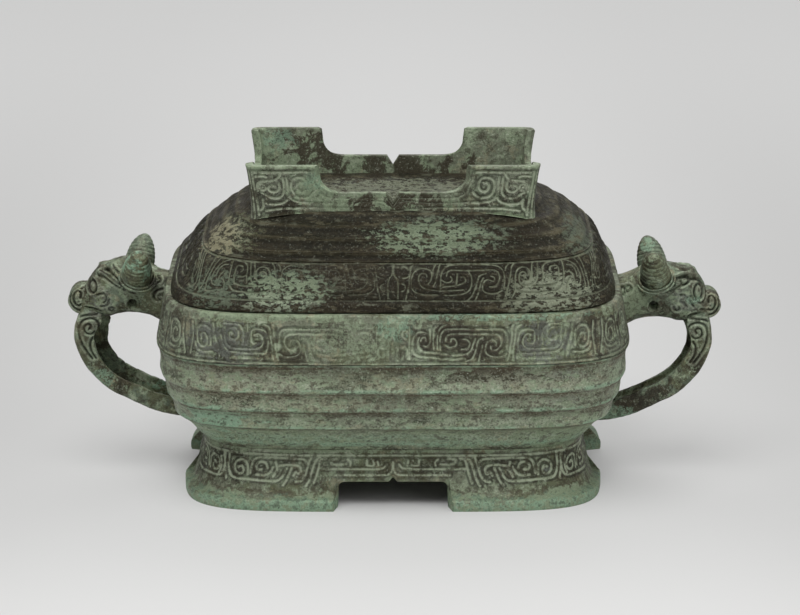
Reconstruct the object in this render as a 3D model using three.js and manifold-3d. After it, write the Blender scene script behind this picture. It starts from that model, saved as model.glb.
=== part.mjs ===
// Covered food vessel of cast bronze, oblong with rounded corners: a bowl on a foot ring, a domed lid
// with a notched crown, and two loop handles whose tops are horned animal heads.
// Millimetres. +Z is up, X runs from handle to handle, and the origin is the centre of the base.
import * as THREE from 'three';
import { mergeVertices } from 'three/addons/utils/BufferGeometryUtils.js';
import Module from 'manifold-3d';

// Plan shape, shared by bowl, foot ring and lid: a superellipse whose half depth is its half length
// less planExcess
const planPower = 5;
const planExcess = 35;
const planSegments = 56;

// Gap between pieces that are seated on each other, and how far a cut starts outside what it cuts
const seatGap = 0.3;
const cutMargin = 1;

// Foot ring
const footHeight = 33;
const footLipHalfLength = 117.5;
const footLipHeight = 7;
const footLipEdge = 1;
const footLipStep = 4.5;
const footWaistHalfLength = 106.5;
const footWall = 4.5;
const footArchWidth = 66;
const footSideArchWidth = 53;
const footArchHeight = 15;
const footArchRadius = 4.5;
const footNotchWidth = 5;
const footNotchHeight = 2.5;

// Bowl. Its ridges, from the lowest up, are heights above the foot and insets from the widest girth
const bowlHeight = 82;
const bowlHalfLength = 131.5;
const bowlMouthHalfLength = 126.5;
const bowlMouthEdge = 1;
const bowlSeatMargin = 1;
const bowlWall = 4;
const bowlFloorThickness = 4.5;
const bowlRidgeRises = [3.5, 16.5, 28, 39.5];
const bowlRidgeInsets = [20.5, 8.5, 4.2, 1.2];
const bowlFluteDepth = 1.6;
const bowlBandDrop = 4.5;
const bowlBandHeight = 22;

// Flange inside the mouth, which keeps the lid in place
const flangeTopDrop = 1.9;
const flangeWall = 2.6;
const flangeClearance = 0.4;

// Lid. Its ridges, from the lowest up, are heights above the band and insets from the mouth
const lidHeight = 46.5;
const lidMouthHalfLength = 123.7;
const lidRimHeight = 5.5;
const lidRimStep = 2;
const lidBandHeight = 19;
const lidBandBulge = 1.6;
const lidWall = 3.8;
const lidRidgeRises = [0, 4.6, 11, 16.6];
const lidRidgeInsets = [15.4, 19.3, 25, 31.4];
const lidCrestInset = 41.5;
const lidCrestDrop = 0.6;
const lidTopHalfLength = 70;
const lidFluteDepth = 1.5;
const lidTopPower = 3.4;

// Crown on the lid: a flared ring, cut down in the middle of each side
const crownHeight = 25.3;
const crownHalfLength = 78.2;
const crownHalfDepth = 45.5;
const crownFlare = 2.8;
const crownWall = 4.6;
const crownPower = 26;
const crownGapDepth = 15.6;
const crownGapCheek = 4.5;
const crownGapTopWidth = 82.6;
const crownGapFloorWidth = 54;
const crownEndGapTopWidth = 76;
const crownEndGapFloorWidth = 62;
const crownNotchWidth = 7;
const crownNotchDepth = 5.5;

// Carved ribbons on the bands of bowl and lid. Each is a line in one quarter of a band, as shares of the
// way from the middle of the front to the middle of the end, and of the band's height.
const carvingWidth = 1.3;
const carvingDepth = 0.6;
const ribbonCurlShares = [
  [0.085, 0.45], [0.1, 0.47], [0.105, 0.66], [0.092, 0.79], [0.072, 0.8], [0.056, 0.68], [0.051, 0.4],
  [0.067, 0.25], [0.092, 0.2], [0.195, 0.17],
];
const ribbonHookShares = [
  [0.333, 0.13], [0.341, 0.38], [0.344, 0.6], [0.351, 0.79], [0.367, 0.84], [0.382, 0.79], [0.389, 0.6],
];
const ribbonLoopShares = [
  [0.415, 0.47], [0.418, 0.68], [0.422, 0.86], [0.436, 0.92], [0.467, 0.92], [0.476, 0.73], [0.476, 0.43],
  [0.459, 0.28], [0.431, 0.25], [0.36, 0.25],
];
const ribbonFrontShares = [
  [[0.014, 0.1], [0.014, 0.45], [0.003, 0.7], [0.003, 0.92]],
  [[0.131, 0.3], [0.131, 0.55], [0.137, 0.77], [0.154, 0.87], [0.231, 0.9], [0.295, 0.87], [0.311, 0.73],
    [0.313, 0.5], [0.31, 0.34]],
  [[0.149, 0.6], [0.159, 0.75], [0.205, 0.77], [0.275, 0.77], [0.292, 0.7], [0.298, 0.55], [0.285, 0.4],
    [0.27, 0.38]],
  [[0.256, 0.65], [0.241, 0.62], [0.234, 0.53], [0.228, 0.34], [0.218, 0.17], [0.205, 0.09]],
  [[0.505, 0.43], [0.508, 0.73], [0.52, 0.85], [0.538, 0.79], [0.551, 0.51], [0.556, 0.26]],
];
const ribbonCornerShare = 0.5685;

// Handle loop: a channel bent into a C. Its outline, from the mouth of the head down to the bowl, is in
// shares of the way in to the foot's waist and of its height.
const loopInset = 4;
const loopDrop = 21;
const loopRise = -2;
const loopInwardShares = [0.054, 0.007, 0.038, 0.115, 0.27, 0.48, 0.72, 0.96];
const loopDownShares = [0, 0.19, 0.38, 0.54, 0.72, 0.85, 0.968, 0.984];
const loopDepth = 15.5;
const loopWidth = 26;
const loopWall = 3.2;
const loopRound = 2.6;

// Animal head over the loop. Its sections are placed by shares of the way from the lid to the snout's
// axis, and have rises above the top of the loop, drops below the crown of the head, and widths.
const neckRoot = 6;
const headTopRise = 9.5;
const headPower = 2.8;
const headShares = [0.155, 0.286, 0.468, 0.548, 0.7, 0.77, 0.851, 0.941, 0.992];
const headUndersideRises = [-2.5, -1, -0.7, -0.7, -1.8, -2.5, -3, -3, -2.5];
const headTopDrops = [8, 5, 0.8, 0.7, 3.9, 4.3, 8.5, 13.5, 17];
const headWidths = [24, 25.5, 27, 27, 26, 24.5, 23.2, 19.5, 18.5];
const snoutReach = 185;
const snoutDrop = 2;
const snoutRadius = 8.6;
const snoutWidth = 19;
const snoutEdge = 2;
const pegHoleWidth = 6;
const pegHoleDepth = 5;
const pegHoleInset = 38.5;
const pegHoleRise = 6;

// Horns, two on each head
const hornRadius = 8.9;
const hornLength = 20.5;
const hornRoot = 3;
const hornCoils = 5;
const hornCoilDepth = 0.35;
const hornSpacing = 21.6;
const hornStandoff = 16.2;
const hornDrop = 1;
const hornLean = new THREE.Vector3(-0.17, 0.52, 0.84).normalize();

const bronze = new THREE.MeshStandardMaterial({ color: 0x4a5044, roughness: 0.6, metalness: 0.55 });
const darkBronze = new THREE.MeshStandardMaterial({ color: 0x3b3a32, roughness: 0.55, metalness: 0.6 });
const greenBronze = new THREE.MeshStandardMaterial({ color: 0x5f7461, roughness: 0.75, metalness: 0.35 });

const wasm = await Module();
wasm.setup();

// Superellipse around the axis, counter-clockwise from above
function planRing(halfLength, halfDepth, z, power = planPower) {
  const points = [];
  for (let i = 0; i < planSegments; i += 1) {
    const t = (i / planSegments) * Math.PI * 2;
    const c = Math.cos(t);
    const s = Math.sin(t);
    const x = halfLength * Math.sign(c) * Math.abs(c) ** (2 / power);
    const y = halfDepth * Math.sign(s) * Math.abs(s) ** (2 / power);
    points.push(new THREE.Vector3(x, y, z));
  }
  return points;
}

// Skin over a stack of rings. A closed stack joins its last ring to its first; an open one gets end caps.
function loft(rings, closed = false) {
  const count = rings[0].length;
  const points = rings.flat();
  const index = [];
  const spans = closed ? rings.length : rings.length - 1;
  for (let i = 0; i < spans; i += 1) {
    const low = i * count;
    const high = ((i + 1) % rings.length) * count;
    for (let j = 0; j < count; j += 1) {
      const k = (j + 1) % count;
      index.push(low + j, low + k, high + k, low + j, high + k, high + j);
    }
  }
  if (!closed) {
    const lastStart = (rings.length - 1) * count;
    for (const [start, isFirst] of [[0, true], [lastStart, false]]) {
      const centre = new THREE.Vector3();
      for (let j = 0; j < count; j += 1) centre.addScaledVector(points[start + j], 1 / count);
      points.push(centre);
      for (let j = 0; j < count; j += 1) {
        const k = (j + 1) % count;
        index.push(points.length - 1, start + (isFirst ? k : j), start + (isFirst ? j : k));
      }
    }
  }
  const geometry = new THREE.BufferGeometry();
  const flat = points.flatMap((p) => [p.x, p.y, p.z]);
  geometry.setAttribute('position', new THREE.Float32BufferAttribute(flat, 3));
  geometry.setIndex(index);
  return geometry;
}

function solidOf(geometry) {
  const bare = geometry.clone();
  for (const name of Object.keys(bare.attributes)) {
    if (name !== 'position') bare.deleteAttribute(name);
  }
  const merged = mergeVertices(bare, 1e-4);
  return new wasm.Manifold(new wasm.Mesh({
    numProp: 3,
    vertProperties: new Float32Array(merged.attributes.position.array),
    triVerts: new Uint32Array(merged.index.array),
  }));
}

function geometryOf(solid) {
  const mesh = solid.getMesh();
  const geometry = new THREE.BufferGeometry();
  geometry.setAttribute('position', new THREE.Float32BufferAttribute(mesh.vertProperties, 3));
  geometry.setIndex(Array.from(mesh.triVerts));
  return geometry;
}

// A profile is a list of [half length, height] rows. Each row becomes one ring of the plan shape.
function ringsOf(profile) {
  return profile.map(([halfLength, z]) => planRing(halfLength, halfLength - planExcess, z));
}

// Moves a rising profile outwards, square to itself; a negative distance moves it inwards
function offsetRows(rows, distance) {
  return rows.map(([halfLength, z], i) => {
    const before = rows[Math.max(i - 1, 0)];
    const after = rows[Math.min(i + 1, rows.length - 1)];
    const run = after[0] - before[0];
    const rise = after[1] - before[1];
    const length = Math.hypot(run, rise);
    return [halfLength + (distance * rise) / length, z - (distance * run) / length];
  });
}

// Presses a concave flute between each two ridges of a rising profile
function fluted(ridges, depth) {
  const steps = 3;
  const rows = [ridges[0]];
  for (let i = 1; i < ridges.length; i += 1) {
    const [startLength, startZ] = ridges[i - 1];
    const [endLength, endZ] = ridges[i];
    const run = endLength - startLength;
    const rise = endZ - startZ;
    const length = Math.hypot(run, rise);
    for (let k = 1; k <= steps; k += 1) {
      const t = k / steps;
      const press = (depth * Math.sin(Math.PI * t)) / length;
      rows.push([startLength + run * t - press * rise, startZ + rise * t + press * run]);
    }
  }
  return rows;
}

// Extrudes an outline, drawn in length and height, right through the object
function throughCut(shape, reach, endToEnd = false) {
  const geometry = new THREE.ExtrudeGeometry(shape, {
    depth: reach * 2,
    bevelEnabled: false,
    curveSegments: 4,
  });
  geometry.translate(0, 0, -reach);
  geometry.rotateX(Math.PI / 2);
  if (endToEnd) geometry.rotateZ(Math.PI / 2);
  return solidOf(geometry);
}

// Foot ring: a concave flare over an upright lip, with an arch through each side
const footTop = footHeight - seatGap;

function footFlareRows(inset) {
  const steps = 4;
  const spread = footLipHalfLength - footLipStep - footWaistHalfLength;
  const rows = [];
  for (let k = 0; k <= steps; k += 1) {
    const t = k / steps;
    const z = footLipHeight + (footTop - footLipHeight) * t;
    rows.push([footWaistHalfLength + spread * (1 - t) ** 2 - inset, z]);
  }
  return rows;
}

function footArchShape(width) {
  const half = width / 2;
  const shoulder = footArchHeight - footArchRadius;
  const below = -cutMargin;
  const shape = new THREE.Shape();
  shape.moveTo(-half, below);
  shape.lineTo(half, below);
  shape.lineTo(half, shoulder);
  shape.absarc(half - footArchRadius, shoulder, footArchRadius, 0, Math.PI / 2, false);
  shape.lineTo(footNotchWidth / 2, footArchHeight);
  shape.lineTo(0, footArchHeight + footNotchHeight);
  shape.lineTo(-footNotchWidth / 2, footArchHeight);
  shape.absarc(-half + footArchRadius, shoulder, footArchRadius, Math.PI / 2, Math.PI, false);
  return shape;
}

function makeFoot() {
  const ring = solidOf(loft(ringsOf([
    [footLipHalfLength, 0],
    [footLipHalfLength, footLipHeight - footLipEdge],
    [footLipHalfLength - footLipEdge, footLipHeight],
    ...footFlareRows(0),
    ...footFlareRows(footWall).reverse(),
    [footLipHalfLength - footLipStep - footWall, 0],
  ]), true));
  return geometryOf(ring
    .subtract(throughCut(footArchShape(footArchWidth), footLipHalfLength))
    .subtract(throughCut(footArchShape(footSideArchWidth), footLipHalfLength * 1.1, true)));
}

// Cuts the ribbons' lines into a band, which lies between rings that all start at the +X end
function carveBand(solid, rings) {
  const front = (planSegments * 3) / 4;
  const quarter = rings.map((ring) => [...ring.slice(front), ring[0]]);
  const reach = [0];
  for (let i = 1; i < quarter[0].length; i += 1) {
    reach.push(reach[i - 1] + quarter[0][i].distanceTo(quarter[0][i - 1]));
  }

  const placeOn = (row, share) => {
    const along = Math.min(Math.max(share, 0), 1) * reach[reach.length - 1];
    const i = Math.min(Math.max(reach.findIndex((length) => length > along), 1), reach.length - 1);
    return row[i - 1].clone().lerp(row[i], (along - reach[i - 1]) / (reach[i] - reach[i - 1]));
  };
  const placeAt = ([share, rise]) => {
    const climb = rise * (quarter.length - 1);
    const low = Math.min(Math.floor(climb), quarter.length - 2);
    return placeOn(quarter[low], share).lerp(placeOn(quarter[low + 1], share), climb - low);
  };

  const nearby = 0.02;
  const line = (shares) => loft(shares.map((place, i) => {
    const point = placeAt(place);
    const across = placeAt([place[0] + nearby, place[1]]).sub(placeAt([place[0] - nearby, place[1]]));
    const upward = placeAt([place[0], place[1] + nearby]).sub(placeAt([place[0], place[1] - nearby]));
    const outward = across.cross(upward).normalize();
    const before = placeAt(shares[Math.max(i - 1, 0)]);
    const ahead = placeAt(shares[Math.min(i + 1, shares.length - 1)]).sub(before);
    const sideways = ahead.cross(outward).normalize();
    const section = [[-carvingDepth, 0], [carvingDepth, -carvingWidth], [carvingDepth, carvingWidth]];
    return section.map(([height, width]) => point.clone()
      .addScaledVector(outward, height)
      .addScaledVector(sideways, width));
  }));

  const turned = (shares, sum) => shares.map(([share, rise]) => [sum - share, rise]);
  const lines = [
    ribbonCurlShares,
    turned(ribbonCurlShares, 1),
    ribbonHookShares,
    turned(ribbonHookShares, ribbonCornerShare * 2),
    ribbonLoopShares,
    turned(ribbonLoopShares, ribbonCornerShare * 2),
    ...ribbonFrontShares,
  ].map((shares) => solidOf(line(shares)));
  const right = lines.reduce((all, one) => all.add(one));
  const bothSides = right.add(right.mirror([1, 0, 0]));
  return solid.subtract(bothSides.add(bothSides.mirror([0, 1, 0])));
}

// Bowl: round shoulder over the foot, flutes, a flat band and the mouth
const mouthZ = footHeight + bowlHeight;
const bowlBandTop = mouthZ - bowlBandDrop;
const bowlRidges = [
  [footWaistHalfLength + bowlSeatMargin, footHeight],
  ...bowlRidgeRises.map((rise, i) => [bowlHalfLength - bowlRidgeInsets[i], footHeight + rise]),
  [bowlHalfLength, bowlBandTop - bowlBandHeight],
];
const bowlUpper = [
  [bowlMouthHalfLength + bowlMouthEdge, bowlBandTop],
  [bowlMouthHalfLength, mouthZ - bowlMouthEdge],
];

function bowlOutside() {
  const [seat, ...ridges] = bowlRidges;
  return [seat, ...fluted(ridges, bowlFluteDepth), ...bowlUpper];
}

function makeBowl() {
  const floorZ = footHeight + bowlFloorThickness;
  const inside = offsetRows([...bowlRidges, ...bowlUpper], -bowlWall)
    .map(([halfLength, z]) => [halfLength, Math.max(z, floorZ)])
    .filter(([, z]) => z < mouthZ - bowlMouthEdge)
    .reverse();
  const flangeHalfLength = lidMouthHalfLength - lidRimStep - lidWall - flangeClearance;
  const flangeTop = lidBandBottom - flangeTopDrop;
  const shell = loft(ringsOf([
    ...bowlOutside(),
    [bowlMouthHalfLength - bowlMouthEdge, mouthZ],
    [flangeHalfLength, mouthZ],
    [flangeHalfLength, flangeTop],
    [flangeHalfLength - flangeWall, flangeTop],
    [flangeHalfLength - flangeWall, mouthZ - bowlMouthEdge],
    ...inside,
  ]));
  return geometryOf(carveBand(solidOf(shell), ringsOf([bowlRidges.at(-1), bowlUpper[0]])));
}

// Lid: upright rim, sloping band, flutes, and a flat top inside the crown
const lidBottom = mouthZ + seatGap;
const lidTop = lidBottom + lidHeight;
const lidBandBottom = lidBottom + lidRimHeight;
const lidBandTop = lidBandBottom + lidBandHeight;
const lidRidges = [
  ...lidRidgeRises.map((rise, i) => [lidMouthHalfLength - lidRidgeInsets[i], lidBandTop + rise]),
  [lidMouthHalfLength - lidCrestInset, lidTop - lidCrestDrop],
];

function lidRim() {
  const foot = [lidMouthHalfLength - lidRimStep, lidBandBottom];
  const middle = [(foot[0] + lidRidges[0][0]) / 2 + lidBandBulge, (foot[1] + lidRidges[0][1]) / 2];
  return [
    [lidMouthHalfLength, lidBottom],
    [lidMouthHalfLength, lidBandBottom - lidRimStep / 2],
    foot,
    middle,
  ];
}

// The lid's corners grow rounder towards its top
function lidRings(profile) {
  return profile.map(([halfLength, z]) => {
    const rise = Math.min(Math.max((z - lidBottom) / lidHeight, 0), 1);
    const power = planPower + (lidTopPower - planPower) * rise;
    return planRing(halfLength, halfLength - planExcess, z, power);
  });
}

function makeLid() {
  const ceiling = lidTop - lidWall;
  const inside = offsetRows([...lidRim(), ...lidRidges], -lidWall)
    .map(([halfLength, z]) => [halfLength, Math.min(Math.max(z, lidBottom), ceiling)])
    .reverse();
  const shell = loft(lidRings([
    ...inside,
    ...lidRim(),
    ...fluted(lidRidges, lidFluteDepth),
    [lidTopHalfLength, lidTop],
  ]));
  return geometryOf(carveBand(solidOf(shell), lidRings([...lidRim().slice(2), lidRidges[0]])));
}

const crownRimZ = lidTop + crownHeight;

function crownGapShape(topWidth, floorWidth) {
  const above = crownRimZ + cutMargin;
  const floor = crownRimZ - crownGapDepth;
  const cheek = crownRimZ - crownGapCheek;
  const shape = new THREE.Shape();
  shape.moveTo(-topWidth / 2, above);
  shape.lineTo(-topWidth / 2, cheek);
  shape.quadraticCurveTo(-topWidth / 2, floor, -floorWidth / 2, floor);
  shape.lineTo(-crownNotchWidth / 2, floor);
  shape.lineTo(0, floor - crownNotchDepth);
  shape.lineTo(crownNotchWidth / 2, floor);
  shape.lineTo(floorWidth / 2, floor);
  shape.quadraticCurveTo(topWidth / 2, floor, topWidth / 2, cheek);
  shape.lineTo(topWidth / 2, above);
  return shape;
}

function makeCrown() {
  const row = (inset, z, flareShare) => planRing(
    crownHalfLength + crownFlare * flareShare - inset,
    crownHalfDepth + crownFlare * flareShare - inset,
    z,
    crownPower,
  );
  const middle = lidTop + crownHeight / 2;
  const ring = solidOf(loft([
    row(0, lidBandTop, 0),
    row(0, lidTop, 0),
    row(0, middle, 0.3),
    row(0, crownRimZ, 1),
    row(crownWall, crownRimZ, 1),
    row(crownWall, middle, 0.3),
    row(crownWall, lidBandTop, 0),
  ], true));
  const seat = solidOf(loft(lidRings([
    [lidMouthHalfLength, lidBottom],
    ...offsetRows([...lidRidges, [lidTopHalfLength, lidTop]], seatGap),
    [lidTopHalfLength / 2, lidTop + seatGap],
  ])));
  const reach = crownHalfLength * 1.2;
  return geometryOf(ring
    .subtract(seat)
    .subtract(throughCut(crownGapShape(crownGapTopWidth, crownGapFloorWidth), reach))
    .subtract(throughCut(crownGapShape(crownEndGapTopWidth, crownEndGapFloorWidth), reach, true)));
}

// Space that the handles keep clear of: the bowl, and the lid's path straight up from it
const clearHalfLength = Math.max(bowlMouthHalfLength, lidMouthHalfLength) + seatGap;

function handleKeepOut() {
  const rows = offsetRows([...bowlRidges, ...bowlUpper], seatGap);
  return solidOf(loft(ringsOf([...rows, [clearHalfLength, mouthZ], [clearHalfLength, crownRimZ]])));
}

// Handle on the +X side
const loopReach = snoutReach - loopInset;
const loopTop = mouthZ - loopDrop;
const loopBottom = footHeight + loopRise;

function loopOutline() {
  const fall = loopTop - loopBottom;
  const run = loopReach - footWaistHalfLength;
  const points = loopInwardShares.map((share, i) => [
    loopReach - run * share,
    loopTop - fall * loopDownShares[i],
  ]);
  return new THREE.CatmullRomCurve3(points.map(([x, z]) => new THREE.Vector3(x, 0, z)));
}

// Section points are [distance in from the outline, width], counter-clockwise
function sweepLoop(section) {
  const steps = 20;
  const outline = loopOutline();
  const rings = [];
  for (let i = 0; i <= steps; i += 1) {
    const point = outline.getPoint(i / steps);
    const along = outline.getTangent(i / steps);
    const inward = new THREE.Vector3(along.z, 0, -along.x);
    rings.push(section.map(([distance, y]) => point.clone()
      .addScaledVector(inward, distance)
      .setY(y)));
  }
  return solidOf(loft(rings));
}

function channelSection() {
  const half = loopWidth / 2;
  const inner = half - loopWall;
  const corner = loopRound * 0.3;
  return [
    [0, half - loopRound], [0, -half + loopRound], [corner, -half + corner], [loopRound, -half],
    [loopDepth, -half], [loopDepth, -inner], [loopWall, -inner], [loopWall, inner],
    [loopDepth, inner], [loopDepth, half], [loopRound, half], [corner, half - corner],
  ];
}

function solidSection(grow) {
  const half = loopWidth / 2 + grow;
  return [[-grow, half], [-grow, -half], [loopDepth + grow, -half], [loopDepth + grow, half]];
}

// Head sections from the bowl out to the muzzle: place, underside, top and width
const snoutAxisX = snoutReach - snoutRadius;

function headSections() {
  const sections = headShares.map((share, i) => [
    clearHalfLength + (snoutAxisX - clearHalfLength) * share,
    loopTop + headUndersideRises[i],
    mouthZ + headTopRise - headTopDrops[i],
    headWidths[i],
  ]);
  const [, low, high, width] = sections[0];
  return [[bowlMouthHalfLength - neckRoot, low, high, width], ...sections];
}

function headRing([x, low, high, width]) {
  const segments = 18;
  const points = [];
  for (let i = 0; i < segments; i += 1) {
    const t = (i / segments) * Math.PI * 2;
    const c = Math.cos(t);
    const s = Math.sin(t);
    const y = (width / 2) * Math.sign(c) * Math.abs(c) ** (2 / headPower);
    const z = ((high - low) / 2) * Math.sign(s) * Math.abs(s) ** (2 / headPower);
    points.push(new THREE.Vector3(x, y, (low + high) / 2 + z));
  }
  return points;
}

// Rolled end of the snout: a rounded disc lying across the head
function makeSnout() {
  const half = snoutWidth / 2;
  const geometry = new THREE.LatheGeometry([
    new THREE.Vector2(0, -half),
    new THREE.Vector2(snoutRadius - snoutEdge, -half),
    new THREE.Vector2(snoutRadius, -half + snoutEdge),
    new THREE.Vector2(snoutRadius, half - snoutEdge),
    new THREE.Vector2(snoutRadius - snoutEdge, half),
    new THREE.Vector2(0, half),
  ], 20);
  geometry.translate(snoutAxisX, 0, loopTop - snoutDrop + snoutRadius);
  return solidOf(geometry);
}

function makeHead(cutters) {
  const skull = solidOf(loft(headSections().map(headRing)));
  const hole = new THREE.CylinderGeometry(pegHoleWidth / 2, pegHoleWidth / 2, pegHoleDepth * 2, 12);
  const holes = [-1, 1].map((side) => solidOf(
    hole.clone().translate(
      snoutReach - pegHoleInset,
      (side * Math.max(...headWidths)) / 2,
      loopTop + pegHoleRise,
    ),
  ));
  return [...holes, ...cutters].reduce((head, cutter) => head.subtract(cutter), skull.add(makeSnout()));
}

// Horn: a blunt cone wound with coils, leaning outwards from the crown of the head
function makeHorn(side, grow = 0) {
  const stepsPerCoil = 3;
  const steps = hornCoils * stepsPerCoil;
  const profile = [new THREE.Vector2(0, -hornRoot - grow)];
  profile.push(new THREE.Vector2(hornRadius + grow, -hornRoot - grow));
  for (let k = 0; k < steps; k += 1) {
    const t = k / steps;
    const groove = k % stepsPerCoil === 0 ? hornCoilDepth : 0;
    profile.push(new THREE.Vector2(hornRadius * Math.sqrt(1 - t ** 1.7) - groove + grow, hornLength * t));
  }
  profile.push(new THREE.Vector2(0, hornLength + grow));
  const geometry = new THREE.LatheGeometry(profile, 16);
  const mirror = new THREE.Vector3(1, side, 1);
  geometry.applyQuaternion(new THREE.Quaternion().setFromUnitVectors(
    new THREE.Vector3(0, 1, 0),
    hornLean.clone().multiply(mirror),
  ));
  geometry.translate(clearHalfLength + hornStandoff, (side * hornSpacing) / 2, mouthZ - hornDrop);
  return solidOf(geometry);
}

const vessel = new THREE.Group();

function addPiece(name, geometry, material) {
  const mesh = new THREE.Mesh(geometry, material);
  mesh.name = name;
  vessel.add(mesh);
}

addPiece('foot_ring', makeFoot(), greenBronze);
addPiece('vessel_bowl', makeBowl(), bronze);
addPiece('lid_shell', makeLid(), darkBronze);
addPiece('lid_crown', makeCrown(), greenBronze);

const keepOut = handleKeepOut();
const loop = sweepLoop(channelSection()).subtract(keepOut);
const head = makeHead([
  keepOut,
  sweepLoop(solidSection(seatGap)),
  makeHorn(-1, seatGap),
  makeHorn(1, seatGap),
]);
const handlePieces = [
  ['handle_loop', loop, bronze],
  ['beast_head', head, bronze],
  ['horn_front', makeHorn(-1).subtract(keepOut), greenBronze],
  ['horn_back', makeHorn(1).subtract(keepOut), greenBronze],
];
for (const [name, solid, material] of handlePieces) {
  addPiece(`${name}_right`, geometryOf(solid), material);
  addPiece(`${name}_left`, geometryOf(solid.mirror([1, 0, 0])), material);
}

export default vessel;
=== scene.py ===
import math

import bpy
import numpy as np
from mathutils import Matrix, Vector


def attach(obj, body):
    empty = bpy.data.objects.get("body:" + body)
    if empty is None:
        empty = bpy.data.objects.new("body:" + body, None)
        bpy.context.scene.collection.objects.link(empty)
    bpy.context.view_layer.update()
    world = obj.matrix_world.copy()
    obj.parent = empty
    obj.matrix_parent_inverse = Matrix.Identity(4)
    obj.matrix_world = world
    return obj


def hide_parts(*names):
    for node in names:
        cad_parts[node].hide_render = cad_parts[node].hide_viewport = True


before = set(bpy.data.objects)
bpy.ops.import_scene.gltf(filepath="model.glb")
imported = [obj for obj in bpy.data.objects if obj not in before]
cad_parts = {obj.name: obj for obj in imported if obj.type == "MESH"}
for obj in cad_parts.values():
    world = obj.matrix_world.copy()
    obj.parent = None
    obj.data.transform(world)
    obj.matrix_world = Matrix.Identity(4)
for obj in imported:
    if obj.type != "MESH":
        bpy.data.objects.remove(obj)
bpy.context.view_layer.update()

# Lengths are millimetres, and meshes are scaled to metres when they are made
MM = 0.001

# Camera, fitted to the photograph: metres, degrees and pixels of the 800 x 615 frame
CAMERA_DISTANCE = 1.915
CAMERA_PITCH = 16.07
AIM_HEIGHT = 0.0934
FOCAL_PIXELS = 3386.0
FRAME_WIDTH = 800.0
OBJECT_CENTRE_X = 393.0
SENSOR_WIDTH = 36.0

# Lamps, as name, place, size and power, with the place they face; world light and floor
LAMPS = [
    ("key", (-0.4, -0.8, 2.3), 1.7, 50),
    ("fill", (1.5, -1.1, 1.3), 1.6, 12),
    ("back", (0.1, 1.6, 1.7), 1.4, 14),
]
LIGHT_AIM = (0, 0, 0.09)
WORLD_COLOUR = (0.8, 0.8, 0.795)
WORLD_STRENGTH = 0.36
FLOOR_SIZE = 12
# Floor colours: a ground, painted light that is lighter near the middle, and in the camera's glow lighter
# still towards the back and the front
FLOOR_GROUND = (0.52, 0.52, 0.515)
FLOOR_NEAR = (0.64, 0.64, 0.635)
FLOOR_FAR = (0.70, 0.70, 0.695)
FLOOR_FRONT = (0.80, 0.80, 0.79)

# How much of the floor's shadow is lifted for the camera, and between which shares of the foot's length
SHADOW_LIFT = 0.55
SHADOW_SPAN = (0.72, 1.2)

# Columns round each piece, rows up the crown's outside, pitch of carved and of plain rows, points by which a
# plan is measured, and the angle from which an edge is sharp
BAND_COLUMNS = 1344
LID_BAND_COLUMNS = 1312
FLUTE_COLUMNS = 960
FIELD_COLUMNS = 700
CROWN_ROWS = 46
ROW_PITCH = 0.5
PLAIN_PITCH = 9
ARC_POINTS = 40001
SHARP_ANGLE = 50

# How far the surface lies inside the solids: on the carved bands and their seams, and on most other parts
BAND_INSET = 0.25
PLAIN_INSET = 0.3

# Half width of a ridge between flutes, and width, depth and banks of the carved lines of each part
CREST_WIDTH = 1.1
BAND_LINE = (0.5, 0.6, 0.3)
CROWN_LINE = (0.5, 0.6, 0.35)
FOOT_LINE = (0.55, 0.5, 0.25)
LOOP_LINE = (0.62, 0.85, 0.35)
HEAD_LINE = (0.62, 0.8, 0.4)
SNOUT_LINE = (0.6, 0.9, 0.35)

# Flat drawings that lines are carved from: length, lowest and highest point, and left end
FIELD_DRAWING = (140, -40, 40, -70)
LOOP_DRAWING = (60, 60, 100, 125)
HEAD_DRAWING = (70, 85, 125, 118)
SNOUT_DRAWING = (40, 85, 115, 160)

# Plan of bowl, foot ring and lid: a superellipse, as deep as it is long less PLAN_EXCESS each way. Flat parts
# run in to FAN_START, a little more than PLAN_EXCESS, and are closed by a fan. BODY_CORNER and LID_CORNER are
# the distances from the middle of the front to the corners, along the bands
PLAN_POWER = 5.0
PLAN_EXCESS = 35.0
FAN_START = 36.5
BODY_CORNER = 113.0
LID_CORNER = 112.0

# Bowl, with its ridges as half length and height. Its flutes, and the lid's, have a depth, steps, the distance
# along the band where they fade and the share of them that is left there. Their wear is the unevenness of the
# ground, and the least and the further rubbing of the ridges
BOWL_SEAT = (107.5, 33.0)
BOWL_RIDGES = [(111.0, 36.5), (123.0, 49.5), (127.3, 61.0), (130.2, 72.5), (131.4, 88.5)]
BOWL_FLUTE = (2.3, 18, BODY_CORNER, 0.5)
BOWL_WEAR = (0.22, 0.3, 0.5)
BOWL_WALL = 4.0
BOWL_FLOOR = 37.6
BAND_LOW = (131.4, 88.5)
BAND_HIGH = (127.4, 110.6)
MOUTH = (126.4, 115.0)
FLANGE_HALF_LENGTH = 117.5
FLANGE_TOP = 118.8
FLANGE_WALL = 2.6

# Lid, with the frets and the leaf on its top, and how far its shoulders lean by height
LID_SEAT = (123.6, 115.35)
LID_RIM_TOP = (122.4, 120.2)
LID_BAND_LOW = (121.4, 120.9)
LID_BAND_MIDDLE = (116.2, 130.6)
LID_RIDGES = [(108.3, 140.0), (104.4, 144.6), (98.8, 150.9), (92.4, 156.4), (82.4, 161.2)]
LID_TOP = 161.8
LID_WALL = 3.8
LID_TOP_POWER = 3.4
LID_FLUTE = (2.0, 14, 92.0, 0.35)
LID_WEAR = (0.2, 0.25, 0.45)
FIELD_HALF = 68.0
FIELD_HOLE = 34.0
FIELD_GROUND = 161.0
FIELD_POWER = 12.0
FRET = (9.6, 6.8)
FRET_LINE = [(0.05, 0.1), (0.86, 0.1), (0.86, 0.82), (0.3, 0.82), (0.3, 0.44), (0.62, 0.44)]
LEAF_PLACE = (-35, 30)
LEAF_RADII = (5.5, 5.0)
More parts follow.
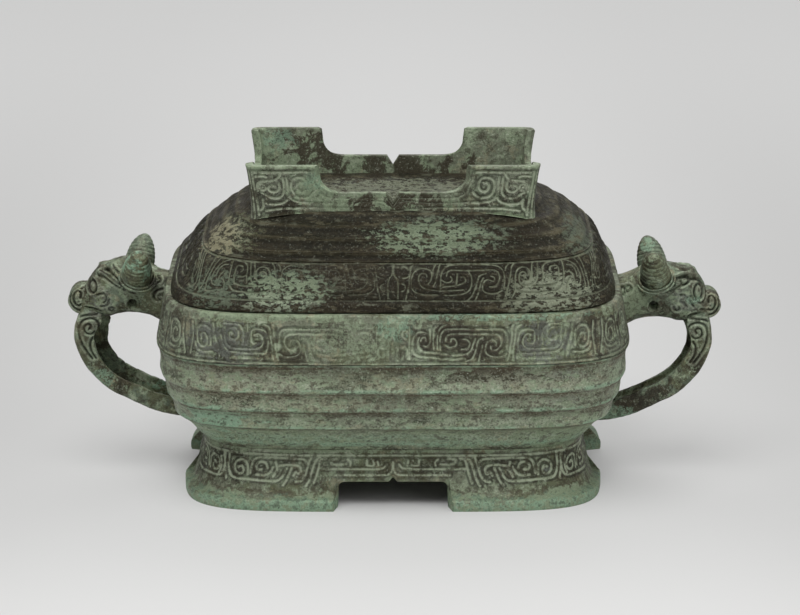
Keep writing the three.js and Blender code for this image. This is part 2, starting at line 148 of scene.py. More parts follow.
LEAN_HEIGHTS = (120.9, 126.0, 136.0, 146.0, 152.0, 158.0)
LEAN_LEFT = (0, 2.4, 2.6, 2.8, 4.6, 4.6)
LEAN_RIGHT = (0, 0.4, 2.2, 2.6, 0.6, -0.8)
LEAN_PLACES = (72, 88)

# Crown
CROWN_HALF_LENGTH = 78.1
CROWN_EXCESS = 32.7
CROWN_FLARE = 2.8
CROWN_WALL = 4.6
CROWN_POWER = 26.0
CROWN_RIM = 187.1
CROWN_ROUND = 0.5
CROWN_SUNK = 1.2
CROWN_GAP_FLOOR = 15.6
CROWN_GAP_CHEEK = 4.5
CROWN_GAP_HALF = (41.3, 27.0)
CROWN_END_GAP_HALF = (38.0, 31.0)
CROWN_NOTCH = (3.5, 5.5)

# Foot ring; its ear is how far the rear right corner stands out
FOOT_TOP = 32.7
FOOT_LIP = 117.4
FOOT_LIP_HEIGHT = 7.0
FOOT_LIP_STEP = 4.5
FOOT_WAIST = 106.5
FOOT_WALL = 4.5
FOOT_ARCH_HALF = 33.0
FOOT_END_ARCH_HALF = 26.5
FOOT_ARCH_HEIGHT = 15.0
FOOT_ARCH_RADIUS = 4.5
FOOT_NOTCH = (2.5, 2.5)
FOOT_BAND = (12.0, 30.5)
FOOT_EAR = 3.4


def lerp(a, b, t):
    return a + (b - a) * t


def smoothstep(low, high, value):
    t = np.clip((value - low) / (high - low), 0, 1)
    return t * t * (3 - 2 * t)


def bell(offset, width, power=2):
    """A smooth bump: 1 where the offset is 0, and near 0 beyond twice the width."""
    return np.exp(-(offset / width) ** power)


def full_turn(count):
    """Angles spread evenly round a full turn."""
    return np.linspace(0, 2 * np.pi, count, endpoint=False)


def length_along(points):
    """Distance along a polyline at each of its points."""
    return np.concatenate([[0], np.cumsum(np.hypot(*np.diff(points, axis=0).T))])


def resample(points, pitch):
    """Points along a polyline, no further apart than the pitch, with its corners kept."""
    rows = [np.array(points[0], float)]
    for start, end in zip(points[:-1], points[1:]):
        start, end = np.array(start, float), np.array(end, float)
        count = max(int(math.ceil(np.linalg.norm(end - start) / pitch)), 1)
        rows += [lerp(start, end, (k + 1) / count) for k in range(count)]
    return np.array(rows)


def fluted(ridges, depth, steps):
    """Points on the ridges' profile, how each is pressed in between ridges, and how near it is to a ridge
    and to the shaded part under the next one."""
    rows, press, crest, shade = [ridges[0]], [(0.0, 0.0)], [1.0], [0.0]
    for (a0, z0), (a1, z1) in zip(ridges[:-1], ridges[1:]):
        run, rise = a1 - a0, z1 - z0
        length = math.hypot(run, rise)
        for k in range(1, steps + 1):
            t = k / steps
            share = depth * math.sin(math.pi * t) / length
            under = (1 - t) * length
            rows.append((a0 + run * t, z0 + rise * t))
            press.append((-share * rise, share * run))
            crest.append(bell(min(t, 1 - t) * length, CREST_WIDTH))
            shade.append(max(bell(under - 2.4, 1.3), 0.62 * bell(under - 4.5, 3.0)))
    return np.array(rows), np.array(press), np.array(crest), np.array(shade)


def pressed(rows, press, plan, corner, least):
    """Profile points for every column, with the flutes shallower round the ends of the vessel."""
    strength = lerp(1.0, least, smoothstep(corner - 22, corner + 12, plan.folded))[None, :]
    return rows[:, :1] + press[:, :1] * strength, rows[:, 1:] + press[:, 1:] * strength


def reach_of(x, y, power):
    """How far a direction has to be drawn out to end on the unit superellipse."""
    return (np.abs(x) ** power + np.abs(y) ** power) ** (-1 / power)


class Plan:
    """Columns round a superellipse, from the middle of the front, counter-clockwise from above."""

    def __init__(self, half_length, excess, power, places=None, count=0):
        """Evenly spread columns, or those that a function gives for the length of a quarter."""
        angle = np.linspace(-np.pi / 2, 3 * np.pi / 2, ARC_POINTS)
        depth = half_length - excess
        cos, sin = np.cos(angle), np.sin(angle)
        reach = reach_of(cos / half_length, sin / depth, power)
        arc = length_along(np.stack([reach * cos, reach * sin], 1))
        self.length = arc[-1]
        self.quarter = self.length / 4
        self.excess = excess
        self.half_length = half_length
        if places is None:
            self.along = np.arange(count) / count * self.length
        else:
            self.along = self.everywhere(places(self.quarter))
        self.x = np.interp(self.along, arc, reach * cos) / half_length
        self.y = np.interp(self.along, arc, reach * sin) / depth
        self.folded = self.quarter - np.abs(self.along % (2 * self.quarter) - self.quarter)

    def everywhere(self, places):
        """Repeats places given in the first quarter round the whole ring."""
        half = np.concatenate([places, 2 * self.quarter - places])
        return np.unique(np.round(np.concatenate([half, half + 2 * self.quarter]) % self.length, 6))

    def rows(self, half_length, height, power):
        """Ring points for each row; half length and height hold one value per row, or one per point."""
        half_length, height, power = (
            np.reshape(v, (len(v), -1)) if np.ndim(v) else v for v in (half_length, height, power))
        spread = reach_of(self.x, self.y, power)
        x = half_length * self.x * spread
        y = (half_length - self.excess) * self.y * spread
        return np.stack(np.broadcast_arrays(x, y, height), -1)


def normals_of(grid, closed=True):
    """Unit normals of a grid whose columns close into rings, and its rows too if it is closed."""
    across = np.roll(grid, -1, 1) - np.roll(grid, 1, 1)
    along = np.roll(grid, -1, 0) - np.roll(grid, 1, 0) if closed else np.gradient(grid, axis=0)
    normal = np.cross(across, along)
    return normal / np.maximum(np.linalg.norm(normal, axis=-1, keepdims=True), 1e-9)


def lifted(grid, lift, closed=True):
    """A grid with its points moved out along their normals."""
    return grid + normals_of(grid, closed) * lift[..., None]


def ripple(points, wavelength, seed):
    """Smooth deterministic unevenness between about -1 and 1."""
    rng = np.random.default_rng(seed)
    total = np.zeros(points.shape[:-1])
    for _ in range(7):
        direction = rng.normal(size=3)
        direction *= 2 * np.pi / (wavelength * rng.uniform(0.6, 1.6) * np.linalg.norm(direction))
        total += np.sin(points @ direction + rng.uniform(0, 2 * np.pi))
    return total / 4


def make_piece(name, points, faces, body, nodes, slot, finish, values):
    """A mesh piece in metres that rides on a body and stands for CAD nodes."""
    sizes = np.array([len(face) for face in faces])
    corners = np.concatenate(faces)
    mesh = bpy.data.meshes.new(name)
    mesh.vertices.add(len(points))
    mesh.vertices.foreach_set("co", (points * MM).astype(np.float32).ravel())
    mesh.loops.add(len(corners))
    mesh.loops.foreach_set("vertex_index", corners.astype(np.int32))
    mesh.polygons.add(len(sizes))
    mesh.polygons.foreach_set("loop_start", (np.cumsum(sizes) - sizes).astype(np.int32))
    mesh.update(calc_edges=True)
    mesh.shade_smooth()
    mesh.set_sharp_from_angle(angle=math.radians(SHARP_ANGLE))
    for key, value in values.items():
        mesh.attributes.new(key, "FLOAT", "POINT").data.foreach_set("value", value.astype(np.float32).ravel())
    mesh.materials.append(finish)
    obj = bpy.data.objects.new(name, mesh)
    bpy.context.scene.collection.objects.link(obj)
    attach(obj, body)
    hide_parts(*nodes)


def grid_faces(rows, columns, closed):
    """Quads of a grid whose columns close into rings, and its rows too if it is closed."""
    r = np.arange(rows if closed else rows - 1)[:, None]
    c = np.arange(columns)[None, :]
    up, over = (r + 1) % rows, (c + 1) % columns
    corners = (r * columns + c, r * columns + over, up * columns + over, up * columns + c)
    return np.stack(np.broadcast_arrays(*corners), -1).reshape(-1, 4)


def ring_shape(grid):
    """Points and faces of a grid that closes both ways."""
    return grid.reshape(-1, 3), grid_faces(*grid.shape[:2], True)


def capped(grid, values):
    """Adds a centre point to each end of an open stack of rings, and the fans that close it."""
    rows, columns = grid.shape[:2]
    points = np.concatenate([grid.reshape(-1, 3), grid[0].mean(0)[None], grid[-1].mean(0)[None]])
    extra = {key: np.append(value.ravel(), [0.0, 0.0]) for key, value in values.items()}
    c = np.arange(columns)
    over = (c + 1) % columns
    centre, base = rows * columns, (rows - 1) * columns
    first = np.stack([np.full(columns, centre), over, c], 1)
    last = np.stack([np.full(columns, centre + 1), base + c, base + over], 1)
    return points, [*grid_faces(rows, columns, False), *first, *last], extra


def curve_through(points):
    """A smooth curve through drawn points."""
    p = np.array(points, float)
    p = np.concatenate([[2 * p[0] - p[1]], p, [2 * p[-1] - p[-2]]])
    out = []
    for k in range(1, len(p) - 2):
        count = max(int(np.linalg.norm(p[k + 1] - p[k]) / ROW_PITCH), 1)
        t = (np.arange(count) / count)[:, None]
        out.append(0.5 * (2 * p[k] + (p[k + 1] - p[k - 1]) * t
                          + (2 * p[k - 1] - 5 * p[k] + 4 * p[k + 1] - p[k + 2]) * t ** 2
                          + (3 * p[k] - p[k - 1] - 3 * p[k + 1] + p[k + 2]) * t ** 3))
    return np.concatenate(out + [p[-2:-1]])


def spiral(centre, start_radius, end_radius, turns):
    """Points of a spiral that turns left from its right-hand side."""
    t = np.linspace(0, 1, int(turns * 10))
    radius = lerp(start_radius, end_radius, t)
    return [(centre[0] + r * math.cos(a), centre[1] + r * math.sin(a))
            for r, a in zip(radius, np.radians(360 * turns * t))]


class Carving:
    """Distance to the nearest carved line, on a flat drawing from (0, low) to (length, high)."""

    pitch = 0.15
    reach = 3.0

    def __init__(self, strokes, length, low, high, left=0.0):
        self.low = low
        self.left = left
        self.field = np.full((int(length / self.pitch) + 2, int((high - low) / self.pitch) + 2), self.reach)
        for stroke in strokes:
            line = curve_through(stroke)
            for start, end in zip(line[:-1], line[1:]):
                self.draw(start - (left, low), end - (left, low))

    def draw(self, start, end):
        least = np.minimum(start, end) - self.reach
        most = np.maximum(start, end) + self.reach
        lo = np.maximum((least / self.pitch).astype(int), 0)
        hi = np.minimum((most / self.pitch).astype(int) + 1, self.field.shape)
        if (hi <= lo).any():
            return
        x = (np.arange(lo[0], hi[0]) * self.pitch)[:, None]
        y = (np.arange(lo[1], hi[1]) * self.pitch)[None, :]
        step = end - start
        t = np.clip(((x - start[0]) * step[0] + (y - start[1]) * step[1]) / max(step @ step, 1e-9), 0, 1)
        gap = np.hypot(x - start[0] - t * step[0], y - start[1] - t * step[1])
        window = self.field[lo[0]:hi[0], lo[1]:hi[1]]
        np.minimum(window, gap, out=window)

    def distance(self, x, y):
        x, y = np.broadcast_arrays((x - self.left) / self.pitch, (y - self.low) / self.pitch)
        outside = (y < 0) | (y > self.field.shape[1] - 1) | (x < 0) | (x > self.field.shape[0] - 1)
        x = np.clip(x, 0, self.field.shape[0] - 1.001)
        y = np.clip(y, 0, self.field.shape[1] - 1.001)
        i, j = x.astype(int), y.astype(int)
        u, v = x - i, y - j
        f = self.field
        value = lerp(lerp(f[i, j], f[i + 1, j], u), lerp(f[i, j + 1], f[i + 1, j + 1], u), v)
        return np.where(outside, self.reach, value)


def carved(distance, width, depth, raised):
    """Height of the ground at a distance from a carved line with raised banks, the line and its banks."""
    line = bell(distance, width)
    bank = bell(distance - 1.35, 0.75)
    return raised * bank - depth * line, line, bank


# Carved lines of the ornament, drawn in millimetres from the middle of the front, and upwards
# from the foot of each band. The other three quarters of each band mirror the first.
LID_MIDDLE = [
    [(0.3, 22.6), (0.4, 16.5), (2.0, 13.6), (2.7, 10.0), (2.6, 2.4)],
    [(8.9, 15.2), (7.2, 14.1), (5.4, 13.8)],
    [(8.2, 19.0), (6.8, 20.6), (5.3, 20.8), (4.9, 19.4)],
    [(8.6, 9.5), (7.7, 6.0), (7.0, 2.2)],
    [(5.0, 10.6), (6.6, 9.4), (6.2, 7.2), (4.8, 6.4)],
]
LID_CURL = [
    [(8.3, 6.0), (8.8, 12.0), (9.2, 16.0), (9.7, 20.3), (11.4, 22.6)],
    [(9.9, 8.5), (9.9, 12.5), (11.0, 16.6), (13.3, 19.1), (16.5, 19.8), (19.8, 18.6), (20.9, 16.4),
     (20.5, 12.7), (19.0, 10.6)],
    [(18.4, 14.6), (17.6, 16.4), (15.4, 16.7), (13.9, 14.6), (13.9, 12.0), (14.8, 9.9), (16.5, 8.3),
     (20.3, 7.3), (25.3, 6.6)],
    [(9.9, 8.5), (11.2, 6.6), (13.6, 5.2), (17.0, 4.6), (24.0, 4.4)],
    [(23.2, 22.7), (21.9, 19.5), (21.3, 16.8)],
    [(25.4, 22.6), (24.2, 17.7), (23.2, 12.5), (22.0, 9.4)],
]
LID_WAVE = [
    [(25.4, 6.6), (25.7, 11.0), (26.0, 15.5), (27.1, 18.8), (29.3, 21.0), (32.6, 21.9), (48.0, 22.1),
     (56.0, 21.3), (59.4, 19.0), (60.4, 16.3), (60.6, 12.0), (60.0, 8.0)],
    [(26.2, 12.9), (28.5, 11.4), (31.0, 11.8), (32.0, 13.3), (31.0, 14.8)],
    [(28.9, 15.0), (29.4, 17.3), (31.0, 18.5), (33.4, 18.6), (41.0, 18.3), (48.0, 18.5), (53.7, 18.7),
     (56.8, 17.6), (57.9, 14.6), (57.1, 11.2), (55.0, 9.2), (52.2, 8.9)],
    [(34.8, 16.4), (34.5, 13.0), (34.3, 10.2)],
    [(40.8, 17.9), (42.3, 15.0), (42.6, 11.5), (41.7, 7.8), (39.0, 5.4), (34.0, 4.3), (28.0, 4.2)],
    [(50.6, 16.6), (47.6, 15.6), (46.1, 13.6), (45.3, 10.5), (44.2, 7.2), (42.4, 3.6), (40.4, 1.6)],
    [(48.9, 14.0), (47.7, 11.6), (46.9, 8.4), (45.8, 4.6), (44.6, 2.0)],
    [(58.9, 6.7), (56.0, 5.3), (52.2, 5.1), (49.3, 6.2), (48.4, 8.0), (49.2, 11.4), (51.2, 13.0),
     (53.6, 12.2), (54.9, 12.4), (54.9, 14.2), (53.0, 15.0)],
    [(25.3, 6.6), (27.0, 8.8), (33.6, 9.6), (37.0, 10.6), (39.2, 12.0), (38.6, 14.2), (36.8, 14.6)],
    [(25.3, 6.6), (33.5, 6.9), (37.6, 7.2)],
]
LID_FAR = [
    [(63.6, 22.6), (61.8, 20.5), (61.2, 18.2)],
    [(66.3, 22.4), (64.9, 20.2), (64.3, 17.0), (63.5, 13.0), (62.3, 8.3), (60.7, 3.4)],
    [(64.2, 2.6), (65.9, 5.5), (66.6, 8.3), (66.6, 13.3), (67.6, 17.5), (69.7, 19.6), (72.8, 19.7),
     (74.8, 17.7), (75.2, 14.4), (74.8, 12.5), (73.2, 11.6), (71.4, 12.4)],
    [(73.2, 8.9), (70.6, 9.3), (68.9, 11.6), (69.0, 15.0), (70.2, 16.8), (72.2, 16.8), (73.2, 15.0)],
    [(76.9, 22.4), (76.2, 18.5), (76.0, 13.0)],
    [(79.4, 22.7), (79.0, 15.5), (78.5, 12.4), (76.9, 10.2), (74.7, 8.8), (80.0, 8.6), (86.0, 8.6),
     (89.6, 9.4)],
    [(81.5, 10.4), (81.6, 11.8), (82.0, 14.9), (81.6, 17.7), (82.4, 20.4), (84.7, 21.9), (89.0, 22.3),
     (92.6, 22.2), (93.3, 18.0), (93.3, 9.9), (91.6, 6.8), (89.1, 5.5), (84.0, 5.3), (78.0, 5.0),
     (70.0, 5.4), (67.2, 6.8)],
    [(82.2, 14.4), (85.0, 13.4), (88.0, 13.3)],
    [(86.6, 16.0), (85.2, 17.2), (86.0, 19.3), (89.6, 19.2), (90.4, 15.5), (90.5, 12.0), (90.0, 9.2)],
    [(94.9, 22.2), (98.2, 20.9), (101.9, 17.7), (104.1, 13.8), (104.7, 10.0), (103.6, 7.8), (101.6, 7.8),
     (100.4, 10.0), (99.4, 13.2), (97.0, 15.6)],
    [(95.8, 19.3), (98.6, 18.6), (101.2, 15.6), (102.3, 12.0)],
    [(95.6, 4.6), (96.0, 9.0), (97.6, 11.4)],
    [(101.8, 22.7), (105.2, 16.6), (107.1, 11.0), (107.7, 7.0), (106.4, 4.0), (101.0, 4.2)],
    [(105.8, 22.4), (108.4, 14.0), (109.9, 9.0), (110.4, 3.0)],
]
BODY_MIDDLE = [
    [(0.4, 21.0), (0.5, 16.0), (2.2, 13.0), (2.8, 9.0), (2.6, 3.0)],
    [(8.4, 17.8), (6.6, 19.2), (5.2, 18.2), (5.4, 15.6), (7.2, 14.4)],
    [(7.6, 4.2), (7.9, 8.0), (6.4, 10.4), (5.0, 9.4)],
]
BODY_CURL = [
    [(9.0, 21.0), (8.8, 14.0), (8.9, 4.0)],
    [(10.4, 8.6), (10.4, 12.4), (11.2, 15.4), (12.6, 17.5), (15.0, 18.3), (17.8, 17.8)],
    [(10.4, 8.6), (12.0, 6.4), (14.6, 5.2), (18.0, 4.8), (24.4, 4.4)],
    [(14.2, 15.4), (13.4, 12.6), (14.2, 9.6), (16.4, 7.8), (20.0, 7.2), (25.4, 7.0)],
    [(14.9, 13.2), (15.8, 15.2), (17.4, 15.2), (17.7, 13.6)],
    [(19.9, 19.4), (20.0, 14.4), (19.6, 11.8), (18.2, 10.4), (16.4, 10.8)],
    [(24.1, 21.8), (22.4, 20.0), (21.9, 16.6), (21.6, 12.2), (22.0, 8.8)],
    [(29.0, 22.3), (25.9, 20.7), (24.4, 18.0), (23.9, 14.0), (24.0, 9.0)],
]
BODY_WAVE = [
    [(25.5, 8.6), (25.3, 12.4), (25.8, 16.6), (27.2, 18.8), (29.7, 19.8), (42.4, 19.9), (57.0, 19.8),
     (60.4, 18.2), (61.4, 14.4), (61.4, 8.8)],
    [(31.2, 13.0), (31.6, 14.6), (33.0, 14.6), (34.3, 12.6), (33.4, 10.6), (30.2, 10.0), (27.6, 11.6)],
    [(28.3, 13.4), (28.8, 15.6), (30.6, 17.0), (34.0, 17.2), (40.2, 17.3), (53.6, 17.2), (56.9, 16.4),
     (58.4, 14.0), (57.8, 10.6), (55.4, 8.4), (53.0, 8.8), (52.6, 10.6)],
    [(36.8, 14.6), (39.8, 14.0), (41.4, 12.0), (40.2, 9.6), (36.8, 8.8)],
    [(50.0, 10.6), (51.0, 13.0), (53.6, 13.9), (55.5, 12.7), (55.6, 11.0)],
    [(48.6, 15.2), (46.6, 14.2), (45.5, 12.2), (44.9, 9.4), (43.6, 5.5), (41.9, 3.3), (39.1, 2.4)],
    [(44.5, 14.6), (43.2, 11.6), (42.0, 8.4), (39.2, 6.4), (32.4, 6.0), (26.0, 6.6)],
    [(50.0, 10.6), (49.7, 8.4), (50.7, 6.2), (53.6, 4.9), (58.0, 4.8), (61.4, 6.4)],
    [(48.2, 11.0), (47.4, 7.4), (46.2, 2.8)],
    [(25.2, 3.9), (33.6, 3.6), (37.6, 4.2)],
]
BODY_FAR = [
    [(64.7, 22.2), (64.0, 19.9), (64.2, 16.6), (63.5, 12.2), (62.8, 6.6), (61.6, 2.8)],
    [(69.5, 22.3), (66.6, 20.3), (65.9, 15.4), (65.0, 9.0), (64.6, 3.0)],
    [(68.6, 6.8), (67.4, 9.9), (67.5, 14.4), (68.8, 18.1), (71.0, 19.4), (74.2, 19.5), (76.3, 18.2),
     (76.4, 14.4), (75.6, 11.8), (73.6, 12.0)],
    [(74.6, 16.4), (72.4, 17.0), (70.5, 15.0), (70.0, 12.2), (71.1, 10.0), (73.4, 9.2), (80.2, 9.1),
     (86.9, 9.4), (89.7, 11.0), (90.9, 14.4), (90.8, 20.2)],
    [(69.6, 6.4), (74.0, 6.6), (80.2, 6.8), (88.0, 7.2), (91.0, 9.2), (92.7, 13.3), (93.6, 18.4)],
    [(80.8, 11.6), (80.5, 16.6), (81.9, 20.4), (84.7, 22.2), (91.3, 22.4)],
    [(78.5, 22.0), (78.4, 16.0), (78.6, 11.2)],
    [(86.4, 16.6), (87.6, 17.6), (88.6, 15.6), (86.8, 13.7), (84.3, 14.3), (83.2, 16.8), (84.4, 19.6),
     (87.0, 20.4)],
    [(97.4, 21.6), (96.6, 15.0), (94.8, 9.4), (94.0, 4.0)],
    [(99.0, 10.0), (98.9, 16.6), (100.2, 19.2), (103.2, 20.3), (106.1, 18.8), (107.0, 14.4), (106.2, 10.4),
     (103.4, 8.7), (101.2, 10.0), (101.0, 13.4), (102.6, 16.0), (104.6, 15.2), (104.4, 12.6)],
    [(97.8, 6.6), (102.5, 6.0), (106.8, 7.2), (108.4, 11.0)],
    [(110.0, 21.8), (109.6, 14.0), (111.2, 4.0)],
]
FOOT_MIDDLE = [
    [(0.0, 13.8), (0.4, 9.4), (2.6, 7.3), (6.0, 6.8), (31.3, 6.8)],
    [(3.4, 12.6), (5.4, 10.6), (10.0, 10.1), (25.0, 10.1), (40.4, 10.2)],
    [(8.0, 12.2), (8.5, 14.6)],
    [(10.9, 14.8), (10.6, 12.2), (14.0, 12.2), (14.4, 14.8)],
    [(24.9, 15.4), (23.4, 14.0), (23.5, 12.0)],
    [(25.8, 12.7), (32.8, 12.7), (34.6, 15.2), (30.2, 15.8)],
]
FOOT_WAVE = [
    [(36.9, 16.0), (39.5, 15.2), (40.9, 10.9), (42.2, 6.4), (43.6, 2.4)],
    [(40.2, 16.4), (42.6, 14.4), (44.4, 9.7), (46.1, 4.1), (48.0, 0.8)],
    [(45.2, 16.6), (47.0, 11.2), (48.4, 6.4), (50.6, 3.6), (53.5, 3.0)],
    [(46.9, 12.4), (48.3, 14.7), (51.1, 15.6), (60.0, 15.9), (72.8, 15.8), (76.2, 14.6), (77.9, 11.9),
     (78.9, 7.0)],
    [(54.8, 6.4), (53.4, 8.6), (51.9, 7.2), (50.8, 8.8), (51.4, 11.2), (53.8, 12.0), (58.3, 12.2),
     (62.6, 11.6)],
    [(55.8, 10.6), (57.2, 7.4), (58.9, 3.6), (60.8, 1.0)],
    [(58.6, 10.4), (60.0, 7.4), (61.8, 4.9), (64.4, 3.4), (70.0, 3.2), (79.0, 3.6), (88.0, 3.8),
     (91.0, 6.0), (92.0, 11.0), (91.5, 16.4)],
    [(66.1, 10.8), (68.2, 7.5), (71.1, 6.1), (75.6, 6.4)],
    [(69.2, 10.2), (70.2, 12.8), (73.2, 13.4), (75.6, 11.4), (74.8, 9.2), (72.4, 9.4)],
    [(64.6, 13.6), (64.0, 9.6), (66.2, 5.6)],
    [(80.4, 6.2), (80.6, 11.5), (83.0, 13.9), (86.6, 13.0), (88.4, 9.8), (87.0, 6.8), (84.2, 6.4),
     (82.9, 8.4), (84.0, 10.6), (85.8, 9.8)],
]
FOOT_FAR = [
    [(94.4, 16.4), (94.4, 10.0), (93.4, 3.0)],
    [(97.4, 14.0), (97.0, 9.0), (98.6, 5.0)],
]
CROWN_PANEL = [
    [(48.6, 9.4), (50.5, 9.7), (51.7, 11.7), (50.6, 14.2), (48.2, 14.5), (46.3, 12.6), (46.1, 9.4),
     (47.8, 7.0), (51.0, 6.6), (54.0, 8.6), (54.7, 12.8), (53.1, 16.6), (50.0, 18.1), (46.0, 17.6),
     (43.2, 15.0)],
    [(56.7, 6.2), (56.8, 12.6), (56.3, 16.6), (54.6, 19.4), (50.0, 20.8), (43.0, 21.1), (30.0, 21.4),
     (20.0, 21.6), (9.0, 20.4), (4.4, 21.2), (1.4, 23.6)],
    [(56.4, 17.8), (58.2, 20.2), (61.0, 21.5), (65.0, 21.9), (69.4, 21.3), (70.9, 19.4)],
    [(58.9, 6.8), (58.7, 12.8), (59.8, 16.6), (62.4, 18.4), (66.0, 18.3), (69.4, 16.2), (71.2, 15.4)],
    [(61.2, 9.8), (61.2, 12.6), (62.7, 14.6), (65.8, 14.8), (67.2, 13.0), (65.6, 11.2), (63.4, 11.4)],
    [(59.6, 4.4), (61.2, 6.8), (63.7, 8.1), (67.2, 8.4), (70.4, 8.8), (72.9, 10.6), (73.2, 14.4)],
    [(67.4, 6.2), (70.0, 5.6), (73.4, 6.2)],
    [(70.8, 20.8), (70.9, 23.6), (72.4, 25.2)],
    [(2.4, 25.8), (20.0, 24.2), (56.0, 24.2), (62.0, 24.6), (69.4, 25.6)],
    [(75.2, 3.6), (60.0, 3.6), (44.2, 3.6), (43.0, 7.6), (41.0, 12.0), (39.9, 15.0), (36.6, 17.6),
     (30.0, 18.6), (20.0, 18.8), (4.6, 18.7), (2.9, 19.4), (0.3, 23.4)],
    [(75.2, 3.6), (75.0, 12.0), (74.2, 20.0), (73.4, 28.0)],
    [(77.6, 3.6), (77.2, 12.0), (76.6, 20.0), (76.0, 30.0)],
    spiral((70.2, 12.2), 1.9, 1.9, 1.0),
    [(70.0, 12.2), (70.4, 12.2)],
]
CROWN_END = [
    [(84.5, 4.0), (84.0, 14.0), (83.5, 26.0)],
    [(87.0, 6.0), (88.2, 9.0), (86.6, 11.2), (85.8, 8.8)],
    [(86.2, 14.0), (88.6, 17.4), (96.0, 18.6), (116.0, 18.8)],
    [(85.6, 21.0), (92.0, 21.4), (118.0, 21.6)],
]


def moved(strokes, place):
    """Strokes with each point's distance along the band worked out anew."""
    return [[(place(x), t) for x, t in stroke] for stroke in strokes]


def around_corner(middle, curl, wave, far, quarter, corner):
    """A whole quarter: the drawn front, its far part mirrored round the corner, and a middle at the end."""
    lines = middle + curl + wave + far + moved(far, lambda x: 2 * corner - x)
    return lines + moved(middle + curl, lambda x: quarter - x)


def on_reference(strokes, heights, half_lengths, reference):
    """Strokes drawn on the sloping band, spread to the reference ring on which its columns are counted."""
    return [[(x * reference / np.interp(t, heights, half_lengths), t) for x, t in stroke]
            for stroke in strokes]


def band_relief(plan, rows, low, high, strokes, borders):
    """Carved height, lines and banks for the rows between two heights of a profile."""
    step = length_along(rows)
    inside = (rows[:, 1] >= low - 1e-6) & (rows[:, 1] <= high + 1e-6)
    tall = np.where(inside, step - step[inside][0], -9.0)
    top = tall.max()
    drawn = on_reference(strokes, tall[inside], rows[inside, 0], plan.half_length)
    drawn += [[(0, t), (plan.quarter + 2, t)] for t in borders(top)]
    distance = Carving(drawn, plan.quarter, 0, top).distance(plan.folded[None, :], tall[:, None])
    height, line, bank = carved(distance, *BAND_LINE)
    edge = smoothstep(-0.1, 1.0, tall) * smoothstep(-0.1, 1.0, top - tall)
    edge = np.where(inside, edge, 0)[:, None]
    within = np.where(inside, 1.0, 0.0)[:, None]
    return height * edge, line * within, bank * within


def painted(line, bank, wear, crest=None):
    """Values that the finish reads: carved lines, the banks beside them, and crests, which the finish paints
    pale both as wear and as a painted highlight.
    """
    worn = np.clip(wear, 0, 1)
    crest = np.zeros(line.shape) if crest is None else crest
    return {"groove": line * worn, "ribbon": bank * worn, "crest": crest}


def flute_paint(edge, bank_and_painted_shade_mask, columns):
    """Values of a fluted surface: pale on its ridges, as wear and a painted highlight, and painted shade under
    them.
    """
    wide = np.ones(columns)
    return {"groove": np.zeros((len(edge), columns)), "ribbon": 0.8 * bank_and_painted_shade_mask[:, None] * wide,
            "crest": edge[:, None] ** 0.3 * wide}


def wear_of(points, seed):
    """How much of the carving is left: uneven, and shallower left of the middle on the front."""
    rubbed = bell(points[..., 0] + 28, 34) * smoothstep(0, -40, points[..., 1]) * 0.35
    return np.clip(0.92 + 0.22 * ripple(points, 42, seed) - rubbed, 0.2, 1.1)


def lid_power(height):
    """Power of the lid's plan, which gets rounder towards its top."""
    rise = np.clip((np.asarray(height) - LID_SEAT[1]) / (LID_TOP - LID_SEAT[1]), 0, 1)
    return lerp(PLAN_POWER, LID_TOP_POWER, rise)


def leaned_lid(grid):
    """The real lid isn't even, so its shoulders lie a little further right than the solid's, by height."""
    x, z = grid[..., 0], grid[..., 2]
    shift = np.where(x < 0, np.interp(z, LEAN_HEIGHTS, LEAN_LEFT), np.interp(z, LEAN_HEIGHTS, LEAN_RIGHT))
    grid[..., 0] += shift * smoothstep(*LEAN_PLACES, abs(x))
    return grid


def make_bowl_band(finish):
    """The carved band with the mouth and flange over it, and the bowl's inside down to the flutes."""
    plan = Plan(BAND_LOW[0], PLAN_EXCESS, PLAN_POWER, count=BAND_COLUMNS)
    outside = resample([BAND_LOW, BAND_HIGH], ROW_PITCH)
    upper = resample([BAND_HIGH, (MOUTH[0] + 0.5, 111.6), (MOUTH[0], 114.2),
                      (MOUTH[0] - 0.7, MOUTH[1])], 0.8)
    inner = FLANGE_HALF_LENGTH - FLANGE_WALL
    rest = [(FLANGE_HALF_LENGTH, MOUTH[1]), (FLANGE_HALF_LENGTH, FLANGE_TOP - 0.4),
            (FLANGE_HALF_LENGTH - 0.4, FLANGE_TOP), (inner + 0.4, FLANGE_TOP), (inner, FLANGE_TOP - 0.4),
            (inner, MOUTH[1] - 3), (MOUTH[0] - BOWL_WALL, 108.0), (BAND_LOW[0] - BOWL_WALL, BAND_LOW[1])]
    rows = np.concatenate([outside, upper[1:], rest])
    lines = around_corner(BODY_MIDDLE, BODY_CURL, BODY_WAVE, BODY_FAR, plan.quarter, BODY_CORNER)
    relief, line, bank = band_relief(plan, rows, BAND_LOW[1], BAND_HIGH[1], lines,
                                     lambda top: (1.2, top - 0.6))
    grid = plan.rows(rows[:, 0], rows[:, 1], PLAN_POWER)
    wear = wear_of(grid, 11)
    shown = (np.arange(len(rows)) < len(outside))[:, None]
    grid = lifted(grid, (relief * wear - BAND_INSET + 0.12 * ripple(grid, 16, 5)) * shown)
    make_piece("bowl_band", *ring_shape(grid), "vessel", ["vessel_bowl"], "bronze", finish,
               painted(line, bank, wear))


